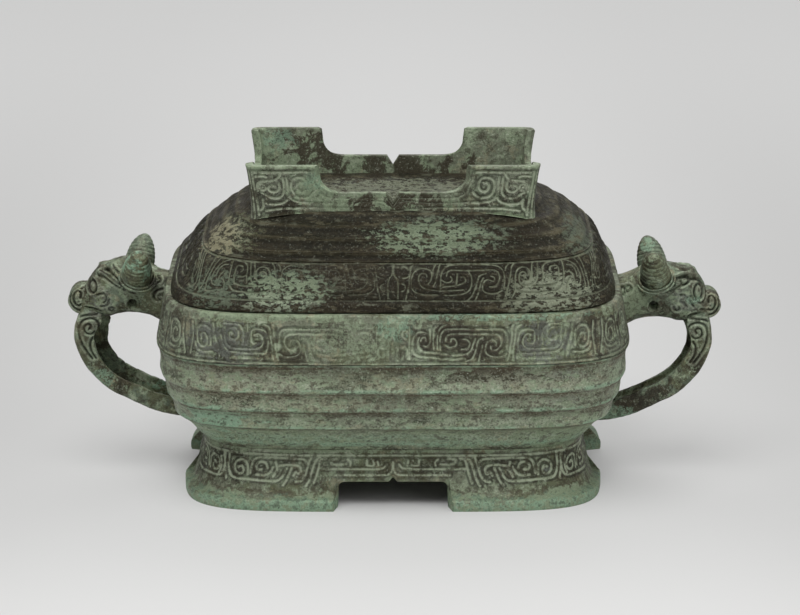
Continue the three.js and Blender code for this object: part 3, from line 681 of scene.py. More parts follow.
def worn_flutes(plan, before, ridges, after, flute, wear, seed, lid):
    """Rings through the rows before, the flutes between the ridges and the rows after them, and their paint,
    with pale ridges of wear and painted highlight and painted shade under them. The bowl's flutes end at the
    band above them, and the lid's start at the band below."""
    depth, steps, corner, least = flute
    uneven, rubbed, rubbed_more = wear
    flutes, press, crest, shade = fluted(ridges, depth, steps)
    first, last = len(before), len(before) + len(flutes)
    rows = np.concatenate([before, flutes, after])
    press = np.concatenate([0 * before, press, 0 * after])
    edge, bank_and_painted_shade_mask, shown = np.zeros((3, len(rows)))
    edge[first:last], bank_and_painted_shade_mask[first:last] = crest, shade
    shown[first:None if lid else last] = 1
    power = lid_power(rows[:, 1]) if lid else PLAN_POWER
    grid = plan.rows(*pressed(rows, press, plan, corner, least), power)
    lift = uneven * ripple(grid, 30, seed) + 0.1 * ripple(grid, 9, seed + 1) - PLAIN_INSET
    lift -= edge[:, None] * (rubbed + rubbed_more * smoothstep(0.1, 1.0, ripple(grid, 22, seed + 2)))
    lift *= shown[:, None]
    lift[first if lid else last - 1] = -BAND_INSET
    return lifted(grid, lift), flute_paint(edge, bank_and_painted_shade_mask, grid.shape[1])


def make_bowl_belly(finish):
    """The fluted part of the bowl, its underside and its floor."""
    plan = Plan(BAND_LOW[0], PLAN_EXCESS, PLAN_POWER, count=FLUTE_COLUMNS)
    under = resample([(FAN_START, BOWL_SEAT[1]), BOWL_SEAT, BOWL_RIDGES[0]], PLAIN_PITCH)[:-1]
    inside = [(BAND_LOW[0] - BOWL_WALL, BAND_LOW[1])]
    inside += [(a - BOWL_WALL * 0.9, z + BOWL_WALL * 0.3) for a, z in BOWL_RIDGES[3:0:-1]]
    inside += [(BOWL_RIDGES[0][0] - 3, BOWL_FLOOR + 2), (BOWL_RIDGES[0][0] - 7, BOWL_FLOOR)]
    inside = resample(inside + [(FAN_START, BOWL_FLOOR)], PLAIN_PITCH)
    grid, values = worn_flutes(plan, under, BOWL_RIDGES, inside, BOWL_FLUTE, BOWL_WEAR, 21, False)
    points, faces, values = capped(grid, values)
    make_piece("bowl_belly", points, faces, "vessel", ["vessel_bowl"], "bronze", finish, values)


def make_lid_band(finish):
    """The lid's upright rim and its bulging carved band, with the inside behind them."""
    plan = Plan(LID_BAND_LOW[0], PLAN_EXCESS, PLAN_POWER, count=LID_BAND_COLUMNS)
    lower = resample([(LID_SEAT[0] - 1.2, LID_SEAT[1]), (LID_SEAT[0] - 0.3, LID_SEAT[1] + 0.1),
                      (LID_SEAT[0], LID_SEAT[1] + 0.7), LID_RIM_TOP], 0.9)
    middle = np.array([LID_BAND_LOW, (119.4, 125.0), LID_BAND_MIDDLE, (112.6, 135.6), LID_RIDGES[0]])
    band = resample([tuple(p) for p in curve_through(middle)], ROW_PITCH)
    inside = [(LID_RIDGES[0][0] - LID_WALL, LID_RIDGES[0][1] - 0.3), (LID_BAND_MIDDLE[0] - 3.6, 129.0),
              (LID_BAND_LOW[0] - 3.4, 119.4), (LID_SEAT[0] - LID_WALL, 118.6),
              (LID_SEAT[0] - LID_WALL, LID_SEAT[1])]
    rows = np.concatenate([lower, band, inside])
    lines = around_corner(LID_MIDDLE, LID_CURL, LID_WAVE, LID_FAR, plan.quarter, LID_CORNER)
    drawn = band_relief(plan, rows[:-len(inside)], LID_BAND_LOW[1], LID_RIDGES[0][1], lines,
                        lambda top: (1.1, top - 0.7))
    blank = np.zeros((len(inside), drawn[0].shape[1]))
    relief, line, bank = (np.concatenate([part, blank]) for part in drawn)
    grid = plan.rows(rows[:, 0], rows[:, 1], lid_power(rows[:, 1]))
    wear = wear_of(grid, 31)
    lift = relief * wear - BAND_INSET + 0.14 * ripple(grid, 18, 6)
    lift[:2] = 0
    lift[-len(inside):] = 0
    grid = leaned_lid(lifted(grid, lift))
    make_piece("lid_band", *ring_shape(grid), "lid", ["lid_shell"], "dark_bronze", finish,
               painted(line, bank, wear))


def make_lid_dome(finish):
    """The lid's fluted shoulder and flat top, with its ceiling inside."""
    plan = Plan(LID_RIDGES[0][0], PLAN_EXCESS, PLAN_POWER, count=FLUTE_COLUMNS)
    ceiling = LID_TOP - LID_WALL
    inside = [(FAN_START, ceiling), (LID_RIDGES[4][0] - 4, ceiling)]
    inside += [(a - 2.2, z - 3.2) for a, z in LID_RIDGES[3:0:-1]]
    inside = resample(inside + [(LID_RIDGES[0][0] - LID_WALL, LID_RIDGES[0][1] - 0.3)], PLAIN_PITCH)
    top = resample([LID_RIDGES[4], (LID_RIDGES[4][0] - 3, LID_TOP), (FAN_START, LID_TOP)], 3)[1:]
    grid, values = worn_flutes(plan, inside, LID_RIDGES, top, LID_FLUTE, LID_WEAR, 41, True)
    points, faces, values = capped(leaned_lid(grid), values)
    make_piece("lid_dome", points, faces, "lid", ["lid_shell"], "dark_bronze", finish, values)


def fret_strokes():
    """Rows of angular frets, every other one turned over."""
    length, width = FRET
    strokes = []
    for row in range(-5, 5):
        for column in range(-7, 7):
            fret = np.array(FRET_LINE)
            if (row + column) % 2:
                fret[:, 0] = 1 - fret[:, 0]
            if column % 2:
                fret[:, 1] = 1 - fret[:, 1]
            strokes.append([((column + u) * length, (row + v) * width) for u, v in fret])
    return strokes


def make_lid_field(finish):
    """Frets in low relief on the lid's flat top, inside the crown, with a small leaf at the back left."""
    plan = Plan(FIELD_HALF, PLAN_EXCESS, FIELD_POWER, count=FIELD_COLUMNS)
    top = resample([(FIELD_HALF, FIELD_GROUND), (FIELD_HOLE, FIELD_GROUND)], 0.62)
    rows = np.concatenate([[(FIELD_HOLE, FIELD_GROUND - 1.5), (FIELD_HALF, FIELD_GROUND - 1.5)], top])
    grid = plan.rows(rows[:, :1], rows[:, 1:], FIELD_POWER)
    distance = Carving(fret_strokes(), *FIELD_DRAWING).distance(grid[..., 0], grid[..., 1])
    leaf = blob(grid[..., 0], grid[..., 1], LEAF_PLACE, LEAF_RADII)
    shown = (np.arange(len(rows)) > 1)[:, None] * smoothstep(FIELD_HALF, FIELD_HALF - 3, rows[:, :1])
    raised = np.maximum(0.95 * smoothstep(1.0, 0.5, distance), 1.35 * bell(leaf, 1, 4))
    grid[..., 2] += raised * shown * (0.75 + 0.25 * ripple(grid, 16, 47))
    # Painted shade: a dark line round the foot of each raised fret. The frets' tops take the crests' paint of
    # wear and painted highlight
    edge = bell(distance - 1.2, 0.4)
    points, faces, values = capped(grid, painted(0 * edge, edge, 1.0, 0.5 * raised))
    make_piece("lid_field", points, faces, "lid", ["lid_shell"], "dark_bronze", finish, values)


def lid_height(x, y):
    """Height of the lid's outside over points of its plan."""
    profile = np.array(LID_RIDGES[::-1] + [LID_BAND_MIDDLE])
    heights = np.linspace(LID_RIDGES[4][1], LID_BAND_MIDDLE[1], 160)
    half = np.interp(-heights, -profile[:, 1], profile[:, 0])
    power = lid_power(heights)
    inside = (np.abs(x[:, None]) / half) ** power + (np.abs(y[:, None]) / (half - PLAN_EXCESS)) ** power
    return heights[np.argmax(inside <= 1, axis=1)]


def gap_depth(offset, half_widths):
    """How far the crown's edge lies below its rim, at an offset from the middle of a side."""
    top, floor = half_widths
    sweep = np.sqrt(np.clip((top - offset) / (top - floor), 0, 1))
    depth = CROWN_GAP_CHEEK + (CROWN_GAP_FLOOR - CROWN_GAP_CHEEK) * (2 * sweep - sweep ** 2)
    depth = np.where(offset < top, depth, 0.0)
    return depth + CROWN_NOTCH[1] * np.clip(1 - offset / CROWN_NOTCH[0], 0, 1)


def places_with(length, pitch, breaks):
    """Evenly spread places, with a close pair at each break."""
    even = np.linspace(0, length, int(length / pitch) + 1)
    pairs = [b + side for b in breaks for side in (-0.02, 0.02)]
    even = even[np.min(np.abs(even[:, None] - np.array(pairs)[None, :]), axis=1) > 0.15]
    return np.sort(np.concatenate([even, pairs]))


def crown_half(height):
    """Half length of the crown's outside, which flares towards its rim."""
    return CROWN_HALF_LENGTH + CROWN_FLARE * np.clip((height - LID_TOP) / (CROWN_RIM - LID_TOP), 0, 1) ** 1.5


def crown_rings(plan, edge):
    """Half lengths and heights of the crown's rings: up the outside, over the edge and down the inside."""
    base = plan.rows([CROWN_HALF_LENGTH], [0.0], CROWN_POWER)[0]
    seat = lid_height(base[:, 0], base[:, 1]) - CROWN_SUNK
    seat_in = np.minimum(lid_height(base[:, 0] * 0.94, base[:, 1] * 0.9) - CROWN_SUNK, LID_TOP - 1)
    top = edge - CROWN_ROUND
    z_out = seat + (top - seat) * np.linspace(0, 1, CROWN_ROWS)[:, None]
    z_in = seat_in + (top - seat_in) * np.linspace(1, 0, 18)[:, None]
    lips = crown_half(edge) - np.array([[CROWN_ROUND], [CROWN_WALL - CROWN_ROUND]])
    half = np.concatenate([crown_half(z_out), lips, crown_half(z_in) - CROWN_WALL])
    return half, np.concatenate([z_out, [edge, edge], z_in])


def make_crown(finish):
    """The oblong ring on the lid, cut down on its four sides, with its carved outside."""
    plan = Plan(CROWN_HALF_LENGTH, CROWN_EXCESS, CROWN_POWER, places=lambda quarter: places_with(
        quarter, ROW_PITCH, [CROWN_GAP_HALF[0], quarter - CROWN_END_GAP_HALF[0]]))
    edge = CROWN_RIM - gap_depth(plan.folded, CROWN_GAP_HALF)
    edge -= gap_depth(plan.quarter - plan.folded, CROWN_END_GAP_HALF)
    half, high = crown_rings(plan, edge)
    grid = plan.rows(half, high, CROWN_POWER)
    below = CROWN_RIM - high
    distance = Carving(CROWN_PANEL + CROWN_END, plan.quarter, 0, 32).distance(plan.folded[None, :], below)
    relief, line, bank = carved(distance, *CROWN_LINE)
    rim = 0.45 * bell(below - 1.0, 0.9, 4) * (np.abs(edge - CROWN_RIM) < 0.1)
    drawn = (np.arange(len(high)) < CROWN_ROWS)[:, None]
    low_part = smoothstep(50, 34, np.abs(grid[..., 0])) * smoothstep(36, 40, np.abs(grid[..., 1]))
    wear = wear_of(grid, 51) * lerp(1.0, 0.3, low_part)
    shy = smoothstep(0.2, 1.2, edge - high)
    lift = (relief * wear * shy + rim) * drawn + 0.12 * ripple(grid, 14, 52) - 0.5
    grid = lifted(grid, lift * (np.abs(high - edge) >= 1e-6))
    grid[..., 2] = np.minimum(grid[..., 2], CROWN_RIM - 0.02)
    values = painted(line * drawn * shy, bank * drawn * shy, wear, bell(edge - high, 1.0))
    make_piece("crown", *ring_shape(grid), "lid", ["lid_crown"], "green_bronze", finish, values)


def arch_height(offset, half_width):
    """Height of the foot's lower edge, at an offset from the middle of an arch."""
    inner = half_width - FOOT_ARCH_RADIUS
    turn = np.clip(offset - inner, 0, FOOT_ARCH_RADIUS)
    drop = FOOT_ARCH_RADIUS - np.sqrt(FOOT_ARCH_RADIUS ** 2 - turn ** 2)
    notch = FOOT_NOTCH[1] * np.clip(1 - offset / FOOT_NOTCH[0], 0, 1)
    return np.where(offset < half_width, FOOT_ARCH_HEIGHT - drop + notch, 0.0)


def foot_half_length(height):
    """Half length of the foot's outside: an upright lip under a concave flare."""
    rise = np.clip((height - FOOT_LIP_HEIGHT) / (FOOT_TOP - FOOT_LIP_HEIGHT), 0, 1)
    flare = FOOT_WAIST + (FOOT_LIP - FOOT_LIP_STEP - FOOT_WAIST) * (1 - rise) ** 2
    step = smoothstep(FOOT_LIP_HEIGHT - 1.3, FOOT_LIP_HEIGHT + 0.9, height)
    lip = FOOT_LIP - 0.6 * smoothstep(1.0, 0.0, height) - 0.4 * smoothstep(4.0, 6.0, height)
    return lerp(lip, flare, step)


def foot_lines(quarter):
    """Distance up the foot's flare by height, and the strokes of a quarter of it with its upper border."""
    heights = np.linspace(*FOOT_BAND, 40)
    halves = foot_half_length(heights)
    climb = length_along(np.stack([halves, heights], 1))
    lines = FOOT_MIDDLE + FOOT_WAVE + FOOT_FAR + moved(FOOT_WAVE[3:], lambda x: quarter + 26 - x)
    lines += moved(FOOT_MIDDLE[:2], lambda x: quarter - x * 0.85)
    lines = on_reference(lines, climb, halves, FOOT_WAIST)
    return heights, climb, lines + [[(0, 17.6), (quarter + 2, 17.6)]]


def make_foot(finish):
    """The foot ring with an arch in each side, and its carved flare."""
    stretch = FOOT_LIP / FOOT_WAIST
    plan = Plan(FOOT_WAIST, PLAN_EXCESS, PLAN_POWER, places=lambda quarter: places_with(
        quarter, 0.56, [FOOT_ARCH_HALF / stretch, quarter - FOOT_END_ARCH_HALF / stretch]))
    front = arch_height(plan.folded * stretch, FOOT_ARCH_HALF)
    end = arch_height((plan.quarter - plan.folded) * stretch, FOOT_END_ARCH_HALF)
    low = np.maximum(front, end)
    share = np.concatenate([np.linspace(0, 0.26, 14), np.linspace(0.28, 1, 42)])[:, None]
    z_out = low + (FOOT_TOP - low) * share
    z_in = low + (FOOT_TOP - low) * np.linspace(1, 0, 16)[:, None]
    half_in = foot_half_length(np.maximum(z_in, FOOT_LIP_HEIGHT + 1)) - FOOT_WALL
    half = np.concatenate([foot_half_length(z_out), half_in])
    grid = plan.rows(half, np.concatenate([z_out, z_in]), PLAN_POWER)
    heights, climb, lines = foot_lines(plan.quarter)
    tall = np.interp(z_out, heights, climb, left=-1, right=99)
    distance = Carving(lines, plan.quarter, 0, 20).distance(plan.folded[None, :], tall)
    shy = smoothstep(0.3, 1.6, z_out - low)
    blank = np.zeros(z_in.shape)
    relief, line, bank = (np.concatenate([part * shy, blank]) for part in carved(distance, *FOOT_LINE))
    wear = wear_of(grid, 61)
    shown = (np.arange(len(grid)) < len(z_out)) & (np.arange(len(grid)) > 0)
    grid = lifted(grid, (relief * wear + 0.14 * ripple(grid, 18, 62) - PLAIN_INSET) * shown[:, None])
    grid[..., 2] = np.maximum(grid[..., 2], 0)
    ear = smoothstep(94, 112, grid[..., 0]) * smoothstep(12, 26, grid[..., 1])
    grid[..., 0] += FOOT_EAR * ear
    crest = np.concatenate([bell(z_out - low, 1.2), blank])
    make_piece("foot", *ring_shape(grid), "vessel", ["foot_ring"], "green_bronze", finish,
               painted(line, bank, wear, crest))


def leaned(points, side):
    """Moves the parts of a handle as the left and the right one differ."""
    x, z = points[..., 0], points[..., 2]
    snout = smoothstep(152, 172, x) * smoothstep(84, 95, z)
    if side < 0:
        return points - np.stack([LEFT_SNOUT_SHIFT * snout, 0 * x, 0 * x], -1)
    brow = smoothstep(150, 162, x) * smoothstep(180, 170, x) * smoothstep(100, 112, z)
    out = RIGHT_SNOUT_SHIFT * snout + RIGHT_BROW_SHIFT * brow
    return points + np.stack([out, 0 * x, -RIGHT_DROP + 0 * x], -1)


def vessel_reach(height):
    """Half length that handles must stay outside of: the bowl, and above its mouth the lid's path."""
    rows = np.array(BOWL_RIDGES + [BAND_HIGH, MOUTH])
    reach = np.interp(height, rows[:, 1], rows[:, 0]) - HANDLE_ROOT
    return np.where(height > MOUTH[1] - 1, LID_CLEARANCE, reach)


def keep_outside(points):
    """Moves points of a handle out of the bowl's wall and of the lid's path."""
    points[..., 0] = np.maximum(points[..., 0], vessel_reach(points[..., 2]))
    return points


def make_handle_piece(name, shape, side, nodes, slot, finish):
    """A piece of the vessel from a right-hand shape, mirrored with its faces turned for the left."""
    points, faces, values = shape
    if side < 0:
        points, faces = points * (-1, 1, 1), [face[::-1] for face in faces]
    make_piece(name, points, faces, "vessel", nodes, slot, finish, values)


def ring_line(centre, radius_x, radius_z):
    """Points of an ellipse, as a stroke."""
    return [(centre[0] + radius_x * math.cos(a), centre[1] + radius_z * math.sin(a))
            for a in np.linspace(0, 2 * np.pi, 14)]


# Carved lines of a handle, seen from the side: distance from the vessel's middle, and height
LOOP_SCROLL = [
    [(165.4, 84.6), (165.8, 87.6), (168.2, 90.0), (171.8, 90.6), (175.3, 88.9), (176.9, 84.5),
     (176.0, 78.0), (173.4, 72.5), (169.6, 67.0)],
    [(170.9, 84.6), (170.0, 86.2), (171.2, 87.5), (173.1, 86.8), (173.9, 84.4), (172.6, 82.2),
     (170.0, 81.5), (167.8, 83.2)],
    [(169.0, 79.5), (170.6, 76.0), (170.0, 71.6), (167.6, 67.4)],
    [(166.0, 93.2), (170.0, 92.6), (175.0, 92.2), (179.4, 90.4)],
]
HEAD_LINES = [
    [(165.5, 115.2), (161.8, 114.4), (157.3, 111.3), (152.5, 108.4), (147.6, 106.3), (143.5, 106.0),
     (139.3, 107.6), (136.0, 110.8), (134.3, 114.4), (134.9, 118.0)],
    [(163.6, 117.2), (159.3, 114.9), (155.0, 111.9), (150.5, 109.2), (146.9, 107.9), (143.2, 107.7),
     (140.0, 109.1), (137.4, 111.9), (136.2, 115.4)],
    [(161.0, 118.8), (156.3, 115.3), (152.6, 112.0)],
    [(157.2, 120.4), (153.6, 116.6)],
    [(166.4, 103.6), (163.6, 105.2), (161.4, 103.8), (161.0, 101.2), (162.6, 99.6)],
    [(159.3, 101.6), (160.4, 98.4), (164.0, 97.2)],
    [(178.0, 93.2), (174.6, 94.1), (169.5, 93.7), (166.0, 92.4)],
    [(172.6, 96.2), (168.4, 95.6), (164.6, 94.4)],
    ring_line((158.2, 95.6), 1.3, 1.3),
    spiral((131.6, 112.6), 0.6, 2.1, 1.3),
    [(129.4, 107.6), (132.6, 106.6), (134.4, 103.8), (132.8, 101.2), (130.2, 101.6)],
]
HEAD_LINES_RIGHT = [
    [(142.4, 106.8), (149.5, 105.9), (155.7, 106.8), (161.0, 109.4), (165.0, 111.0), (166.2, 112.6),
     (164.4, 114.3), (158.4, 113.6), (151.3, 112.4), (146.2, 111.8)],
    ring_line((146.4, 108.9), 1.9, 1.9),
    [(165.5, 113.1), (170.3, 112.4), (174.4, 109.4), (175.6, 105.6), (175.3, 101.4), (173.1, 99.3),
     (170.3, 100.1), (167.1, 103.5)],
    [(160.2, 103.9), (162.6, 104.2), (165.3, 102.2), (167.4, 99.4), (169.1, 97.2)],
    [(161.2, 100.6), (163.2, 99.6), (164.9, 97.4)],
    [(157.6, 97.4), (158.4, 95.4), (160.4, 95.2), (160.6, 97.0)],
    [(166.3, 90.9), (169.5, 92.4), (175.1, 91.7), (179.6, 91.9)],
    [(173.4, 95.2), (176.4, 94.4), (178.6, 95.0)],
    ring_line((132.1, 107.3), 1.6, 1.6),
    ring_line((128.9, 106.2), 1.5, 2.1),
]
BROW_RIDGE = [(165.4, 116.6), (160.9, 114.7), (156.3, 111.7), (151.6, 108.9), (147.2, 107.1),
              (143.4, 106.9), (139.7, 108.4), (136.8, 111.4), (135.3, 115.0)]
BROW_RIDGE_RIGHT = [(176.0, 110.6), (172.6, 113.6), (168.0, 115.2), (163.2, 115.8), (158.0, 115.0),
                    (153.0, 114.0)]
HEAD_PEG_RADII = (2.6, 2.9)
HEAD_EYE_RADII = (2.5, 1.8)
HEAD_BEAD_RADII = (1.75, 1.35)
HEAD_BEADS = {-1: [], 1: [(150.8, 109.1), (155.2, 109.8), (159.4, 110.9), (163.2, 112.0)]}
# Carved lines, nostril with its radii, eye, peg hole and brow ridge of the left and the right head
HEAD_FEATURES = {
    -1: (HEAD_LINES, (168.6, 108.6), (2.2, 3.4), (160.6, 118.8), (146.3, 98.9), BROW_RIDGE),
    1: (HEAD_LINES_RIGHT, (171.4, 105.8), (2.5, 4.2), (164.6, 118.4), (146.2, 97.8), BROW_RIDGE_RIGHT),
}
SNOUT_LINES = [
    [(174.0, 95.6), (177.2, 94.2), (180.6, 95.8), (182.6, 99.0), (182.9, 102.6), (181.6, 106.0),
     (178.8, 107.8), (176.0, 107.2)],
    [(176.2, 97.8), (178.2, 97.0), (180.0, 98.4), (180.8, 101.4), (180.2, 104.2), (178.4, 105.6),
     (176.6, 104.4), (176.8, 101.6)],
]

# Handle: root inside the bowl's wall, the lid's path, the loop's channel and the head's outline, which is
# given as distance from the vessel's middle with height or half width
HANDLE_ROOT = 0.9
LID_CLEARANCE = 126.9
LOOP_OUTLINE = [(176.0, 97.5), (178.6, 91.0), (180.2, 81.0), (178.2, 70.0), (172.6, 60.0), (161.0, 48.6),
                (145.4, 40.2), (127.6, 33.2), (109.6, 32.2)]
LOOP_DEPTH = 15.4
LOOP_HALF_WIDTH = 12.9
LOOP_WALL = 3.2
LOOP_ROUND = 2.6
LOOP_LEDGE = 3.0
LOOP_LOBE = (171.8, 85.6)
LOOP_LOBE_RADII = (4.6, 4.8)

# Depth of the channel's walls at distances along the outline: left in front and behind, right in front and
# behind. The left one is worn in front, the right one behind
LOOP_PLACES = (0, 4, 9, 16, 26, 38, 52, 75, 105)
LOOP_DEPTHS = {
    (-1, -1): (13.0, 15.0, 14.6, 12.5, 11.5, 10.5, 9.6, 10.8, 12.0),
    (-1, 1): (13.0, 18.0, 19.4, 19.2, 18.0, 14.8, 12.4, 11.8, 12.4),
    (1, -1): (12.0, 13.8, 13.6, 12.8, 12.2, 12.4, 12.0, 12.0, 12.0),
    (1, 1): (12.0, 14.0, 14.7, 13.7, 12.1, 10.5, 9.2, 8.6, 9.4),
}

# The real handles differ: the left snout lies further in and the left horns further out, and the right head
# lies lower, with its snout, brow and horns further out. Collars follow the horns on the right alone
SIDE_NAMES = {-1: "left", 1: "right"}
LEFT_SNOUT_SHIFT = 1.1
RIGHT_SNOUT_SHIFT = 0.6
RIGHT_BROW_SHIFT = 3.0
RIGHT_DROP = 2.6
HORN_MOVES = {-1: (1.2, 0.0, 0.0), 1: (4.6, 0.0, -1.2)}
HEAD_START = 124.5
HEAD_END = 176.6
HEAD_TOP = [(124, 114.2), (131, 115.9), (136, 118.0), (141, 120.4), (147, 122.9), (152, 123.5),
            (157, 122.2), (161, 120.9), (164, 120.7), (166.5, 119.3), (169, 116.2), (172, 112.4),
            (174.5, 108.8), (177, 104.5)]
HEAD_LOW = [(124, 83.6), (128, 85.2), (132, 87.4), (138, 90.2), (144, 91.5), (150, 91.6), (156, 90.6),
            (161, 89.2), (167, 89.6), (173, 91.2), (177, 93.4)]
HEAD_HALF_WIDTH = [(124, 12.9), (133, 12.2), (139, 12.4), (146, 13.2), (154, 13.3), (160, 13.0),
                   (164, 12.4), (168, 11.6), (172, 10.7), (175, 10.1), (177, 9.4)]
HEAD_POWER = 2.9
SNOUT_CENTRE = (176.2, 99.6)
SNOUT_RADIUS = 8.2
SNOUT_HALF_WIDTH = 9.1
HORN_PLACE = (143.0, 10.8, 114.0)
HORN_LEAN = (-0.17, 0.52, 0.84)
HORN_RADIUS = 8.8
HORN_LENGTH = 20.3
HORN_ROOT = 3.0
HORN_COILS = 8.6
HORN_COLLARS = ((9.3, 1.1), (10.6, -0.1))


def loop_section():
    """Outline of the channel, as distance inwards and width, counter-clockwise along the loop."""
    half, inner, turn, depth = LOOP_HALF_WIDTH, LOOP_HALF_WIDTH - LOOP_WALL, LOOP_ROUND, LOOP_DEPTH
    ledge = inner - LOOP_LEDGE
    corner = [(turn - turn * math.cos(a), -half + turn - turn * math.sin(a))
              for a in np.radians([0, 22, 45, 68, 90])]
    ring = corner + [(depth - 0.8, -half), (depth, -half + 0.8), (depth, -inner - 0.6), (depth - 0.6, -inner),
                     (LOOP_WALL, -inner + 0.6), (LOOP_WALL, ledge), (depth - 5.4, ledge),
                     (depth - 4.8, ledge + 0.6), (depth - 4.4, inner - 0.3), (depth - 0.6, inner),
                     (depth, inner + 0.6), (depth, half - 0.8), (depth - 0.8, half)]
    ring += [(d, -y) for d, y in corner[::-1]] + [corner[0]]
    return resample(ring, 0.42)[:-1]


def blob(x, z, centre, radii):
    """Distance from a place on a side, in units of its radii."""
    return np.hypot((x - centre[0]) / radii[0], (z - centre[1]) / radii[1])


def loop_path():
    """Smoothed middle line of the loop's back, and the direction inwards at each of its points."""
    path = curve_through(LOOP_OUTLINE)
    for _ in range(60):
        path[1:-1] = (path[:-2] + 2 * path[1:-1] + path[2:]) / 4
    step = np.gradient(path, axis=0)
    step /= np.linalg.norm(step, axis=1, keepdims=True)
    return path, np.stack([step[:, 1], -step[:, 0]], 1)


def make_loop(side, finish):
    """One loop: a channel swept along its outline, open inwards, with walls worn to different depths."""
    path, inward = loop_path()
    section = loop_section()
    run = length_along(path)
    front, back = (np.interp(run, LOOP_PLACES, LOOP_DEPTHS[side, wall]) - LOOP_WALL for wall in (-1, 1))
    reach = np.where(section[None, :, 1] < 0, front[:, None], back[:, None]) / (LOOP_DEPTH - LOOP_WALL)
    beyond = np.maximum(section[:, 0] - LOOP_WALL, 0)[None, :]
    depth = np.minimum(section[:, 0], LOOP_WALL)[None, :] + beyond * reach
    flat = path[:, None, :] + inward[:, None, :] * depth[..., None]
    narrow = (1 - 0.04 * smoothstep(8, 0, run))[:, None]
    width = section[None, :, 1] * narrow
    grid = np.stack([flat[..., 0], width, flat[..., 1]], -1)
    distance = Carving(LOOP_SCROLL, *LOOP_DRAWING).distance(grid[..., 0], grid[..., 2])
    relief, line, bank = carved(distance, *LOOP_LINE)
    relief += 1.1 * bell(blob(grid[..., 0], grid[..., 2], LOOP_LOBE, LOOP_LOBE_RADII), 0.75)
    on_side = smoothstep(LOOP_HALF_WIDTH - 1.0, LOOP_HALF_WIDTH - 0.2, np.abs(width / narrow))
    edge = smoothstep(LOOP_DEPTH - 1.4, LOOP_DEPTH, section[None, :, 0]) * np.ones(width.shape)
    ragged = 0.9 * smoothstep(-0.2, 1, ripple(grid, 8, 72))
    ragged += 0.5 * smoothstep(0.2, 1, ripple(grid, 3.5, 73))
    lift = relief * on_side - PLAIN_INSET + 0.25 * ripple(grid, 15, 71) + 0.1 * ripple(grid, 5, 74)
    grid = keep_outside(leaned(lifted(grid, lift - edge * ragged, False), side))
    shape = capped(grid, painted(line, bank, on_side))
    name = SIDE_NAMES[side]
    make_handle_piece(f"loop_{name}", shape, side, [f"handle_loop_{name}"], "bronze", finish)


def along_head(table, x):
    """Height or half width of the head at distances from the vessel's middle, read off a drawn curve."""
    curve = curve_through(table)
    return np.interp(x, curve[:, 0], curve[:, 1])


def head_relief(grid, side):
    """Relief of the head's sides: brow, eye, nostril, peg hole and carved lines, and how pale they are."""
    x, z = grid[..., 0], grid[..., 2]
    lines, nostril_at, radii, eye_at, peg_at, brow_ridge = HEAD_FEATURES[side]
    carving = Carving(lines + [ring_line(nostril_at, *radii)], *HEAD_DRAWING)
    relief, line, bank = carved(carving.distance(x, z), *HEAD_LINE)
    nostril = blob(x, z, nostril_at, radii)
    relief += 0.9 * bell(nostril, 0.45) + 0.8 * bell(nostril - 1.45, 0.25)
    eye = blob(x, z, eye_at, HEAD_EYE_RADII)
    relief += 0.9 * bell(eye - 1.7, 0.4) - 2.6 * bell(eye, 0.8)
    peg = blob(x, z, peg_at, HEAD_PEG_RADII)
    relief += 0.6 * bell(peg - 1.35, 0.22) - 5.0 * smoothstep(1.1, 0.82, peg)
    brow = Carving([brow_ridge], *HEAD_DRAWING).distance(x, z)
    relief += 1.3 * bell(brow, 1.0) - 0.6 * bell(brow - 2.0, 0.7)
    line = np.maximum(line, np.maximum(smoothstep(1.05, 0.7, peg), 0.9 * bell(eye, 0.8, 4)))
    for centre in HEAD_BEADS[side]:
        bead = blob(x, z, centre, HEAD_BEAD_RADII)
        relief += 1.1 * smoothstep(1.15, 0.75, bead) - 0.5 * bell(bead - 1.3, 0.2)
        line = np.maximum(line, 0.9 * bell(bead - 1.3, 0.25))
    return relief, line, np.maximum(bank, 0.8 * bell(brow, 0.9))


def make_head_body(side):
    """Skull and neck: rounded sections from the bowl to the snout, with the relief on their sides."""
    x = np.arange(HEAD_START, HEAD_END, 0.34)
    top, low, half = (along_head(table, x) for table in (HEAD_TOP, HEAD_LOW, HEAD_HALF_WIDTH))
    round_y, round_z = (np.sign(turn) * np.abs(turn) ** (2 / HEAD_POWER)
                        for turn in (np.cos(full_turn(190)), np.sin(full_turn(190))))
    y = half[:, None] * round_y * (1 - 0.16 * smoothstep(0.1, 1.0, round_z)[None, :])
    z = ((top + low) / 2)[:, None] + ((top - low) / 2)[:, None] * round_z
    grid = leaned(np.stack([np.broadcast_to(x[:, None], y.shape), y, z], -1), side)
    relief, line, bank = head_relief(grid, side)
    on_side = smoothstep(0.25, 0.6, np.abs(normals_of(grid, False)[..., 1]))
    ends = smoothstep(HEAD_START, HEAD_START + 3, x)[:, None]
    lift = relief * on_side * ends - 0.35 + 0.25 * ripple(grid, 13, 81) + 0.1 * ripple(grid, 5, 82)
    return capped(keep_outside(lifted(grid, lift, False)), painted(line, bank, on_side * ends))


